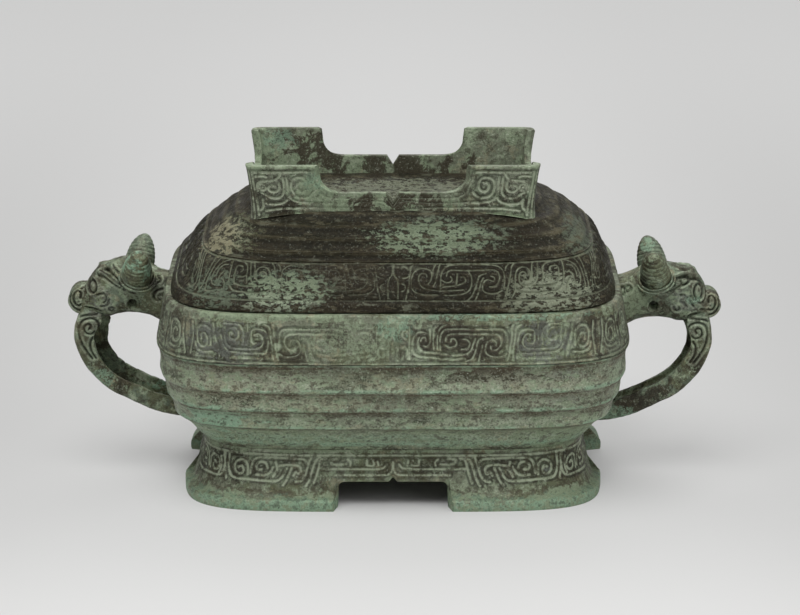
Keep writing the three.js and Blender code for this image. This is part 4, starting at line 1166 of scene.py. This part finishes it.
def make_snout(side):
    """Rolled end of the snout: a disc lying across the head, with a scroll carved in each face."""
    edge, half = 1.6, SNOUT_HALF_WIDTH
    rise = [(0.4, half + 0.4), (SNOUT_RADIUS - edge, half), (SNOUT_RADIUS - 0.4, half - edge * 0.6),
            (SNOUT_RADIUS, half - edge * 1.6)]
    profile = resample([(radius, -across) for radius, across in rise] + rise[::-1], 0.33)
    radius, across = profile[:, :1], profile[:, 1:]
    x = SNOUT_CENTRE[0] + radius * np.cos(full_turn(150))
    z = SNOUT_CENTRE[1] - radius * np.sin(full_turn(150))
    grid = np.stack([x, np.broadcast_to(across, x.shape), z], -1)
    distance = Carving(SNOUT_LINES, *SNOUT_DRAWING).distance(x, z)
    relief, line, bank = carved(distance, *SNOUT_LINE)
    facing = smoothstep(half - 1.6, half - 0.6, np.abs(grid[..., 1]))
    grid = lifted(grid, relief * facing - 0.35 + 0.15 * ripple(grid, 9, 91), False)
    return capped(leaned(grid, side), painted(line, bank, facing))


def on_horn(reach, rise, around, mirror):
    """Points at a reach from a horn's axis and a rise along it, on the vessel."""
    along = Vector(HORN_LEAN).normalized()
    along = Vector((along.x, along.y * mirror, along.z))
    across = along.orthogonal().normalized()
    local = np.stack([reach * np.cos(around), reach * np.sin(around), rise + 0 * around], -1)
    return np.array(HORN_PLACE) * (1, mirror, 1) + local @ np.array([across, along.cross(across), along])


def make_collar(mirror):
    """Two raised rings round the root of a horn."""
    tube = full_turn(10)[:, None]
    inward, up = -0.62 * np.cos(tube), 0.62 * np.sin(tube)
    return [ring_shape(on_horn(radius + inward, height + up, full_turn(120), mirror))
            for radius, height in HORN_COLLARS]


def join_parts(parts):
    """Joins point lists, faces and values of several closed shapes."""
    faces, start = [], 0
    for points, polygons, _ in parts:
        faces += [np.asarray(face) + start for face in polygons]
        start += len(points)
    values = {key: np.concatenate([part[2][key] for part in parts]) for key in parts[0][2]}
    return np.concatenate([part[0] for part in parts]), faces, values


def make_head(side, finish):
    """One animal head: skull with neck, rolled snout and the collars of its two horns."""
    parts = [make_head_body(side), make_snout(side)]
    for mirror in (-1, 1):
        for points, faces in make_collar(mirror):
            points = keep_outside(points + np.array(HORN_MOVES[side]) * (side > 0))
            blank = np.zeros(len(points))
            parts.append((points, faces, painted(blank, blank, 1.0)))
    name = SIDE_NAMES[side]
    shape = join_parts(parts)
    make_handle_piece(f"head_{name}", shape, side, [f"beast_head_{name}"], "bronze", finish)


def make_horn(side, place, finish):
    """Horn: a blunt cone with a ridge that winds up it like a shell's."""
    mirror = -1 if place == "front" else 1
    around = full_turn(110)
    rise = np.concatenate([[0.0, 0.15], np.linspace(0.3, 1, 90)])[:, None]
    climb = rise * (HORN_LENGTH + HORN_ROOT) - HORN_ROOT
    share = np.clip(climb / HORN_LENGTH, 0, 1)
    radius = HORN_RADIUS * np.sqrt(np.maximum(1 - share ** 2.2, 0.0004))
    turn = (climb / HORN_LENGTH * HORN_COILS + around[None, :] / (2 * np.pi)) % 1.0
    ridge = 0.34 * (np.sin(np.pi * turn) ** 0.7 - 0.7)
    ridge *= smoothstep(-0.5, 2.0, climb) * smoothstep(1.0, 0.9, share)
    grid = on_horn(np.maximum(radius - PLAIN_INSET + ridge, 0.2), climb, around, mirror)
    grid = lifted(grid, 0.16 * ripple(grid, 7, 95 + mirror), False)
    grid = keep_outside(grid + np.array(HORN_MOVES[side]))
    furrow = bell(turn, 0.12) + bell(1 - turn, 0.12)
    shape = capped(grid, painted(furrow, 0 * furrow, 1.0, bell(turn - 0.72, 0.12)))
    name = f"horn_{place}_{SIDE_NAMES[side]}"
    make_handle_piece(f"{name}_dressed", shape, side, [name], "green_bronze", finish)


class Finish:
    """Builds one procedural bronze, layer upon layer of colour."""

    def __init__(self, name, ground):
        self.material = bpy.data.materials.new(name)
        self.material.use_nodes = True
        tree = self.material.node_tree
        self.nodes, self.links = tree.nodes, tree.links
        self.shader = self.nodes["Principled BSDF"]
        self.coords = self.nodes.new("ShaderNodeTexCoord").outputs["Object"]
        paint = self.nodes.new("ShaderNodeRGB")
        paint.outputs[0].default_value = (*ground, 1)
        self.colour = paint.outputs[0]

    def vector(self, operation, value, amount):
        node = self.nodes.new("ShaderNodeVectorMath")
        node.operation = operation
        node.inputs[1].default_value = amount
        self.links.new(value, node.inputs[0])
        return node.outputs["Value" if operation == "LENGTH" else "Vector"]

    def noise(self, scale, detail, roughness, offset, distortion=0.0, flat=1.0):
        """Fractal noise; flat above 1 draws it out along the length of the vessel."""
        stretched = self.vector("MULTIPLY", self.coords, (1.0, 1.0, flat))
        shifted = self.vector("ADD", stretched, (offset, offset * 0.7, -offset * 0.4))
        node = self.nodes.new("ShaderNodeTexNoise")
        for key, number in (("Scale", scale), ("Detail", detail), ("Roughness", roughness),
                            ("Distortion", distortion)):
            node.inputs[key].default_value = number
        self.links.new(shifted, node.inputs["Vector"])
        return node.outputs["Fac"]

    def near(self, centre, radii):
        """A value of 1 round a place in millimetres, falling to 0 beyond its radii."""
        away = self.vector("SUBTRACT", self.coords, tuple(c * MM for c in centre))
        away = self.vector("DIVIDE", away, tuple(r * MM for r in radii))
        return self.ranged(self.vector("LENGTH", away, (0, 0, 0)), 0.35, 1.35, 1, 0)

    def patch(self, centre, radii, colour, strength, grain, broken):
        """Patina of one colour round a place, with its edge and middle broken up by a noise."""
        where = self.math("MULTIPLY", self.near(centre, radii), 0.5)
        mask = self.math("ADD", where, self.ranged(grain, 0.34, 0.66, 0, 0.5))
        self.layer(self.ranged(mask, 0.56 + 0.2 * broken, 0.64 + 0.2 * broken), colour, strength)

    def attribute(self, name):
        node = self.nodes.new("ShaderNodeAttribute")
        node.attribute_name = name
        return node.outputs["Fac"]

    def along(self, axis):
        """The place along one axis, in metres."""
        node = self.nodes.new("ShaderNodeSeparateXYZ")
        self.links.new(self.coords, node.inputs[0])
        return node.outputs[axis]

    def ranged(self, value, low, high, bottom=0.0, top=1.0):
        """A value eased from bottom to top between two levels."""
        node = self.nodes.new("ShaderNodeMapRange")
        node.interpolation_type = "SMOOTHSTEP"
        for key, number in (("From Min", low), ("From Max", high), ("To Min", bottom), ("To Max", top)):
            node.inputs[key].default_value = number
        self.links.new(value, node.inputs["Value"])
        return node.outputs["Result"]

    def math(self, operation, first, second):
        """The sum or product of a value and another value or a number, kept between 0 and 1."""
        node = self.nodes.new("ShaderNodeMath")
        node.operation = operation
        node.use_clamp = True
        self.links.new(first, node.inputs[0])
        if isinstance(second, (int, float)):
            node.inputs[1].default_value = second
        else:
            self.links.new(second, node.inputs[1])
        return node.outputs[0]

    def layer(self, mask, colour, strength=1.0, where=None):
        """Lays a colour over what is there, where the mask shows it and a second one too if it is given."""
        if where is not None:
            mask = self.math("MULTIPLY", mask, where)
        node = self.nodes.new("ShaderNodeMix")
        node.data_type = "RGBA"
        self.links.new(self.math("MULTIPLY", mask, strength), node.inputs["Factor"])
        self.links.new(self.colour, node.inputs["A"])
        node.inputs["B"].default_value = (*colour, 1)
        self.colour = node.outputs["Result"]

    def patches(self, places, coarse, fine):
        for centre, radii, colour, strength, broken in places:
            self.patch(centre, radii, colour, strength, fine if broken > FINE_BROKEN else coarse, broken)

    def finish(self, rough, metallic, bump_heights):
        self.links.new(self.colour, self.shader.inputs["Base Color"])
        self.links.new(rough, self.shader.inputs["Roughness"])
        self.shader.inputs["Metallic"].default_value = metallic
        target = self.shader.inputs["Normal"]
        for height, distance, strength in bump_heights[::-1]:
            bump = self.nodes.new("ShaderNodeBump")
            bump.inputs["Distance"].default_value = distance
            bump.inputs["Strength"].default_value = strength
            self.links.new(height, bump.inputs["Height"])
            self.links.new(bump.outputs["Normal"], target)
            target = bump.inputs["Normal"]
        return self.material


# Colours of the bronze and its patina, and of its painted sheen, highlights and shade
INK = (0.016, 0.015, 0.010)
BROWN = (0.050, 0.042, 0.025)
UMBER = (0.092, 0.082, 0.050)
RUST = (0.105, 0.078, 0.046)
OLIVE = (0.122, 0.134, 0.075)
STONE = (0.175, 0.194, 0.135)
MOSS = (0.138, 0.175, 0.122)
SAGE = (0.256, 0.320, 0.206)
MALACHITE = (0.275, 0.425, 0.295)
COFFEE = (0.023, 0.019, 0.013)
SAND = (0.262, 0.255, 0.185)
# Grey-blue patina that also paints a sheen, a grey reflection on the bronze
GREY_PATINA_AND_PAINTED_SHEEN = (0.175, 0.195, 0.170)
TAN = (0.320, 0.292, 0.182)
PALE = (0.400, 0.450, 0.330)
# Chalky flecks, and the pale painted highlight on the left head's cheek
CHALK_AND_PAINTED_HIGHLIGHT = (0.500, 0.540, 0.430)

# Patches darker than this sum lie under the pale carved lines, the rest over them. A patch that is more
# broken than the second number has the finer grain
DARK_SUM = 0.40
FINE_BROKEN = 0.45

# Where patina of one kind lies, and painted sheen and highlights where marked: middle and half widths in
# millimetres, colour, strength, how broken
BAND_PATCHES = [
    ((-25, -96, 103), (46, 24, 15), SAGE, 0.6, 0.7),
    # Grey-blue patches, here and below: patina with a painted sheen
    ((-93, -92, 101), (32, 30, 18), GREY_PATINA_AND_PAINTED_SHEEN, 0.6, 0.6),
    ((37, -96, 100), (31, 20, 12), BROWN, 0.8, 0.35),
    ((112, -78, 103), (18, 32, 12), BROWN, 0.7, 0.4),
    ((81, -94, 100), (24, 26, 17), GREY_PATINA_AND_PAINTED_SHEEN, 0.6, 0.6),
    ((-70, -95, 114), (80, 30, 3.4), SAGE, 0.8, 0.3),
    ((60, -95, 114), (85, 30, 3.0), MALACHITE, 0.6, 0.6),
    ((0, -95, 108), (16, 20, 9), MALACHITE, 0.6, 0.6),
    ((0, 96, 102), (50, 24, 14), BROWN, 0.7, 0.5),
]
BELLY_PATCHES = [
    ((50, -96, 82), (40, 24, 5.5), BROWN, 0.85, 0.2),
    # Grey-blue patches, here and below: patina with a painted sheen
    ((-96, -92, 82), (30, 26, 6), GREY_PATINA_AND_PAINTED_SHEEN, 0.6, 0.6),
    ((-20, -96, 80), (36, 24, 9), OLIVE, 0.6, 0.5),
    ((92, -92, 81), (20, 26, 5), GREY_PATINA_AND_PAINTED_SHEEN, 0.7, 0.46),
    ((88, -92, 72.5), (42, 28, 3.2), MALACHITE, 0.75, 0.5),
    ((93, -90, 66.5), (18, 22, 5), GREY_PATINA_AND_PAINTED_SHEEN, 0.6, 0.46),
    ((20, -94, 63), (60, 24, 6), UMBER, 0.7, 0.6),
    ((-94, -86, 54), (36, 40, 10), SAGE, 0.9, 0.2),
    ((-98, -86, 55), (28, 36, 7), MALACHITE, 0.8, 0.4),
    ((-84, -92, 77), (50, 36, 15), SAND, 0.75, 0.6),
    ((70, -92, 74), (70, 36, 15), SAND, 0.65, 0.62),
    ((-50, -92, 66), (60, 30, 8), TAN, 0.5, 0.65),
    ((0, -96, 76), (30, 30, 8), TAN, 0.5, 0.7),
    ((85, -86, 52), (40, 36, 6), SAGE, 0.8, 0.4),
    ((0, 0, 43), (500, 400, 9), SAGE, 0.6, 0.35),
    ((-30, 0, 40), (400, 400, 7), MALACHITE, 0.65, 0.6),
    ((-90, -92, 69), (46, 34, 9), TAN, 0.55, 0.64),
    ((-80, -92, 66), (60, 34, 8), PALE, 0.4, 0.7),
    ((70, -86, 42), (70, 40, 5), PALE, 0.5, 0.6),
    ((60, -88, 53), (76, 36, 6), PALE, 0.5, 0.66),
    ((-40, -88, 48), (70, 36, 4), PALE, 0.4, 0.7),
    ((0, -90, 62), (500, 400, 40), PALE, 0.33, 0.60),
    ((-98, -84, 52), (36, 42, 12), MALACHITE, 0.75, 0.3),
    ((84, -84, 43), (56, 42, 6), SAGE, 0.7, 0.35),
]
LID_PATCHES = [
    ((-97, -78, 126), (28, 36, 15), MOSS, 0.7, 0.7),
    ((-58, -84, 127), (34, 28, 16), MOSS, 0.8, 0.5),
    ((-60, -85, 127), (34, 24, 13), SAGE, 0.6, 0.7),
    ((-62, -85, 121), (30, 20, 7), PALE, 0.35, 0.8),
    ((86, -81, 125), (38, 36, 16), STONE, 0.8, 0.5),
    ((90, -84, 118.5), (42, 24, 5), STONE, 0.75, 0.6),
    ((26, -66, 152), (54, 34, 14), MOSS, 0.75, 0.5),
    ((22, -66, 151), (48, 30, 12), SAGE, 0.55, 0.72),
    ((-94, -50, 151), (30, 40, 19), OLIVE, 0.8, 0.5),
    ((-98, -48, 150), (30, 36, 17), STONE, 0.75, 0.68),
    ((-100, -44, 148), (26, 34, 15), TAN, 0.6, 0.66),
    ((96, -42, 152), (28, 40, 18), UMBER, 0.7, 0.45),
    ((104, -30, 146), (20, 50, 14), MOSS, 0.6, 0.6),
    ((0, 0, 163), (70, 40, 9), STONE, 0.8, 0.46),
    ((-60, 70, 150), (40, 26, 12), MOSS, 0.8, 0.6),
    ((-42, -62, 152), (44, 34, 11), INK, 0.7, 0.3),
    ((64, -60, 152), (34, 34, 11), COFFEE, 0.85, 0.3),
    ((92, -82, 126), (36, 36, 14), PALE, 0.3, 0.7),
]
CROWN_PATCHES = [
    ((-44, -47, 175), (17, 9, 14), SAGE, 0.9, 0.2),
    ((-40, -47, 178), (14, 9, 9), MALACHITE, 0.5, 0.6),
    ((6, -47, 163), (50, 9, 11), BROWN, 0.9, 0.4),
    ((-62, -48, 163), (18, 9, 10), BROWN, 0.8, 0.4),
    ((66, -48, 172), (12, 9, 12), UMBER, 0.7, 0.5),
    ((-10, 46, 171), (76, 14, 24), BROWN, 0.9, 0.3),
    ((-66, 45, 180), (16, 9, 10), MALACHITE, 0.6, 0.5),
    ((66, 45, 182), (16, 9, 9), SAGE, 0.7, 0.4),
    ((-4, -47, 167), (38, 9, 9), BROWN, 0.85, 0.45),
    ((-62, -48, 177), (17, 9, 12), PALE, 0.4, 0.68),
    ((64, -48, 177), (17, 9, 12), PALE, 0.5, 0.62),
]
FOOT_PATCHES = [
    ((0, 0, 1), (500, 400, 10.5), SAGE, 0.9, 0.1),
    ((0, 0, 2), (500, 400, 8), MALACHITE, 0.7, 0.55),
    ((0, 0, 8), (500, 400, 4), UMBER, 0.6, 0.7),
    # Grey-blue patch: patina with a painted sheen
    ((86, -78, 23), (13, 14, 10), GREY_PATINA_AND_PAINTED_SHEEN, 0.8, 0.3),
    ((0, 0, 34), (500, 400, 5.5), SAGE, 0.8, 0.4),
]
HANDLE_PATCHES = [
    ((-176, -10, 74), (9, 20, 16), OLIVE, 0.7, 0.3),
    ((-178, -10, 84), (7, 20, 12), TAN, 0.35, 0.7),
    # Painted highlights on the left head: grey-blue sheen, and a pale highlight on its cheek
    ((-164, -13, 97), (14, 11, 10), GREY_PATINA_AND_PAINTED_SHEEN, 0.5, 0.5),
    ((-163, -13, 108), (6, 8, 4), CHALK_AND_PAINTED_HIGHLIGHT, 0.35, 0.6),
    ((-130, -13, 108), (10, 14, 9), INK, 0.7, 0.3),
    ((-165, -12, 55), (12, 20, 9), MALACHITE, 0.65, 0.5),
    ((-140, -12, 40), (20, 20, 9), MOSS, 0.8, 0.4),
    ((-130, 8, 47), (16, 22, 9), MALACHITE, 0.8, 0.35),
    # Painted highlight on the right head: grey-blue sheen
    ((164, -13, 100), (12, 11, 10), GREY_PATINA_AND_PAINTED_SHEEN, 0.55, 0.5),
    ((169, -13, 102), (7, 11, 6), MALACHITE, 0.6, 0.55),
    ((136, -12, 101), (16, 16, 12), SAGE, 0.75, 0.4),
    ((148, -13, 94), (12, 9, 6), STONE, 0.7, 0.5),
    ((150, -13, 43), (32, 24, 13), BROWN, 0.85, 0.3),
    ((148, -13, 44), (24, 20, 9), INK, 0.7, 0.5),
    ((163, -14, 99.5), (8, 9, 6), UMBER, 0.75, 0.45),
    ((169, -12, 115), (10, 12, 5), BROWN, 0.75, 0.5),
    ((178, -10, 98), (10, 12, 12), UMBER, 0.6, 0.5),
    ((128, -13, 33), (20, 18, 9), MALACHITE, 0.65, 0.6),
    ((170, -13, 52), (10, 16, 9), MOSS, 0.7, 0.5),
]
HORN_PATCHES = [
    ((-147, -20, 122), (13, 16, 14), MALACHITE, 0.85, 0.3),
    ((-140, -16, 124), (7, 8, 7), MOSS, 0.7, 0.4),
    ((-141, 18, 124), (8, 8, 9), MOSS, 0.8, 0.3),
    ((-138, 13, 113), (8, 8, 5), INK, 0.8, 0.3),
    ((146, 12, 129), (9, 9, 9), MALACHITE, 0.5, 0.4),
    ((142, -14, 112), (9, 9, 7), INK, 0.8, 0.4),
    ((155, 0, 119), (9, 20, 12), SAGE, 0.6, 0.5),
]


def grains(f, seed, flat):
    """Five noises from coarse to fine, the coarser ones drawn out along the vessel."""
    large = f.noise(24, 8, 0.64, seed, 0.0, flat)
    middle = f.noise(62, 10, 0.72, seed + 3.1, 0.3, flat)
    other = f.noise(80, 10, 0.72, seed + 17.1, 0.3, flat)
    small = f.noise(240, 8, 0.72, seed + 5.7, 0.0, 1 + (flat - 1) * 0.5)
    return large, middle, other, small, f.noise(760, 4, 0.75, seed + 9.2)


def bronze_finish(name, seed, ground, second, patches, mottle, speckle=0.6, flat=1.0, pale=SAGE, tan=0.8,
                  flecks=0.3, line=PALE, line_strength=0.7, line_edge=(0.25, 0.85), ribbon=0.5,
                  bank_and_painted_shade_colour=INK, crest=0.3, rough=(0.40, 0.72), specular=0.4, metallic=0.3, streaks=0.0):
    """Cast bronze under a patina: two grounds, nested mottling, patches by place, carved lines with their
    banks and flecks, with crests painted pale for wear and as a painted highlight, and painted shade under the
    flutes' crests.
    """
    f = Finish(name, ground)
    large, middle, other, small, speck = grains(f, seed, flat)
    for grain, low, high, colour, strength in (
            (large, 0.485, 0.525, second, 0.9),
            (other, 0.475, 0.445, pale, mottle),
            (other, 0.425, 0.395, PALE, 0.9 * mottle),
            (other, 0.560, 0.590, TAN, tan * mottle),
            (middle, 0.515, 0.545, BROWN, 1.15 * mottle),
            (middle, 0.590, 0.615, INK, 0.8 * mottle),
            (small, 0.435, 0.405, pale, speckle)):
        f.layer(f.ranged(grain, low, high), colour, strength)
    f.patches([p for p in patches if sum(p[2]) < DARK_SUM], middle, small)
    # Crests painted pale: wear on ridges and edges, and a painted highlight on the flutes' ridges
    ridge = f.ranged(f.attribute("crest"), 0.3, 0.95)
    f.layer(ridge, pale, crest, f.ranged(other, 0.56, 0.46, 0.1, 1))
    # Banks beside carved lines in their own colour; on the flutes the same mask is painted shade under each
    # crest
    bank_and_painted_shade_mask = f.ranged(f.attribute("ribbon"), 0.2, 0.9)
    f.layer(bank_and_painted_shade_mask, bank_and_painted_shade_colour, ribbon, f.ranged(small, 0.4, 0.5, 0.5, 1))
    groove = f.ranged(f.attribute("groove"), *line_edge)
    f.layer(groove, line, line_strength, f.ranged(small, 0.62, 0.46, 0.2, 1))
    f.patches([p for p in patches if sum(p[2]) >= DARK_SUM], middle, small)
    # Streaks of rust and brown within the painted shade under the flutes' crests, and of malachite on the
    # crests
    f.layer(bank_and_painted_shade_mask, RUST, streaks, f.ranged(middle, 0.470, 0.505))
    f.layer(bank_and_painted_shade_mask, BROWN, streaks, f.ranged(other, 0.540, 0.570))
    f.layer(ridge, MALACHITE, 0.7 * streaks, f.ranged(other, 0.510, 0.470))
    f.layer(f.ranged(small, 0.545, 0.575), BROWN, 0.85 * speckle)
    f.layer(f.ranged(speck, 0.57, 0.62), INK, 0.8 * speckle)
    f.layer(f.ranged(speck, 0.43, 0.38), CHALK_AND_PAINTED_HIGHLIGHT, flecks, f.ranged(small, 0.54, 0.44, 0.2, 1))
    f.shader.inputs["Specular IOR Level"].default_value = specular
    shine = f.ranged(middle, 0.35, 0.65, *rough)
    return f.finish(shine, metallic, [(middle, 0.0014, 0.4), (small, 0.0009, 0.7), (speck, 0.0004, 0.6)])


def lift_shadows(paper):
    """Softens the floor's shadow round the foot for the camera alone, as the photo's bright studio does."""
    # The glow for the camera is painted light in the floor's colour, lighter towards the back and the front
    paper.layer(paper.ranged(paper.along("Y"), 0.1, 1.2), FLOOR_FAR)
    paper.layer(paper.ranged(paper.along("Y"), -0.05, -0.32), FLOOR_FRONT)
    share = paper.vector("DIVIDE", paper.coords, (FOOT_LIP * MM, (FOOT_LIP - PLAN_EXCESS) * MM, 1))
    clear = paper.ranged(paper.vector("LENGTH", share, (0, 0, 0)), *SHADOW_SPAN, 0, SHADOW_LIFT)
    ray = paper.nodes.new("ShaderNodeLightPath").outputs["Is Camera Ray"]
    glow = paper.nodes.new("ShaderNodeEmission")
    blend = paper.nodes.new("ShaderNodeMixShader")
    paper.links.new(paper.colour, glow.inputs["Color"])
    paper.links.new(paper.math("MULTIPLY", clear, ray), blend.inputs["Fac"])
    paper.links.new(paper.shader.outputs["BSDF"], blend.inputs[1])
    paper.links.new(glow.outputs["Emission"], blend.inputs[2])
    paper.links.new(blend.outputs[0], paper.nodes["Material Output"].inputs["Surface"])


def make_stage():
    """A pale floor with painted light, a little lighter in front of the vessel than at the edges of the
    picture.
    """
    bpy.ops.mesh.primitive_plane_add(size=FLOOR_SIZE)
    floor = bpy.context.object
    floor.name = "floor"
    paper = Finish("paper", FLOOR_GROUND)
    paper.layer(paper.near((0, -150, 0), (250, 1500, 1000)), FLOOR_NEAR)
    paper.links.new(paper.colour, paper.shader.inputs["Base Color"])
    paper.shader.inputs["Roughness"].default_value = 0.9
    lift_shadows(paper)
    floor.data.materials.append(paper.material)


def add_area(name, place, size, power):
    light = bpy.data.lights.new(name, "AREA")
    light.size = size
    light.energy = power
    obj = bpy.data.objects.new(name, light)
    bpy.context.scene.collection.objects.link(obj)
    obj.location = place
    aim = Vector(LIGHT_AIM) - Vector(place)
    obj.rotation_euler = aim.to_track_quat("-Z", "Y").to_euler()


def light_scene():
    for lamp in LAMPS:
        add_area(*lamp)
    world = bpy.data.worlds.new("studio")
    world.use_nodes = True
    world.node_tree.nodes["Background"].inputs["Color"].default_value = (*WORLD_COLOUR, 1)
    world.node_tree.nodes["Background"].inputs["Strength"].default_value = WORLD_STRENGTH
    bpy.context.scene.world = world


def place_camera():
    pitch = math.radians(CAMERA_PITCH)
    camera = bpy.data.cameras.new("camera")
    camera.sensor_width = SENSOR_WIDTH
    camera.lens = FOCAL_PIXELS / FRAME_WIDTH * SENSOR_WIDTH
    camera.shift_x = (FRAME_WIDTH / 2 - OBJECT_CENTRE_X) / FRAME_WIDTH
    obj = bpy.data.objects.new("camera", camera)
    bpy.context.scene.collection.objects.link(obj)
    obj.location = (0, -CAMERA_DISTANCE * math.cos(pitch), AIM_HEIGHT + CAMERA_DISTANCE * math.sin(pitch))
    obj.rotation_euler = (math.radians(90 - CAMERA_PITCH), 0, 0)
    bpy.context.scene.camera = obj


band_finish = bronze_finish("band_bronze", 3.1, STONE, OLIVE, BAND_PATCHES, mottle=0.62, speckle=0.6,
                            ribbon=0.65, line_strength=0.8)
belly_finish = bronze_finish("belly_bronze", 6.2, SAGE, STONE, BELLY_PATCHES, mottle=0.66, speckle=0.75,
                             flat=1.9, flecks=0.8, ribbon=0.85, bank_and_painted_shade_colour=BROWN, crest=0.8, streaks=0.9)
foot_finish = bronze_finish("foot_bronze", 2.3, OLIVE, STONE, FOOT_PATCHES, mottle=0.5, line_strength=0.95,
                            line_edge=(0.1, 0.6), ribbon=0.75, flecks=0.5)
lid_finish = bronze_finish("lid_bronze", 7.7, INK, COFFEE, LID_PATCHES, mottle=0.2, speckle=0.35, flat=3.0,
                           pale=UMBER, flecks=0.2, line=STONE, line_strength=0.95, ribbon=0.9, crest=0.55,
                           rough=(0.34, 0.6), specular=0.07, metallic=0.04)
crown_finish = bronze_finish("crown_bronze", 5.3, SAGE, STONE, CROWN_PATCHES, mottle=0.5, line_strength=1.0,
                             line_edge=(0.1, 0.5), ribbon=0.72, crest=0.2, flecks=0.6)
handle_finish = bronze_finish("handle_bronze", 9.4, OLIVE, MOSS, HANDLE_PATCHES, mottle=0.7, speckle=0.7,
                              line=INK, line_strength=0.85, ribbon=0.4, bank_and_painted_shade_colour=PALE)
horn_finish = bronze_finish("horn_bronze", 4.9, OLIVE, MOSS, HORN_PATCHES, mottle=0.55, speckle=0.7,
                            tan=0.3, line=INK, line_strength=0.35, crest=0.5)

make_bowl_band(band_finish)
make_bowl_belly(belly_finish)
make_foot(foot_finish)
make_lid_band(lid_finish)
make_lid_dome(lid_finish)
make_lid_field(lid_finish)
make_crown(crown_finish)
for side in (-1, 1):
    make_loop(side, handle_finish)
    make_head(side, handle_finish)
    for place in ("front", "back"):
        make_horn(side, place, horn_finish)

make_stage()
light_scene()
place_camera()
bpy.context.scene.view_settings.view_transform = "Standard"
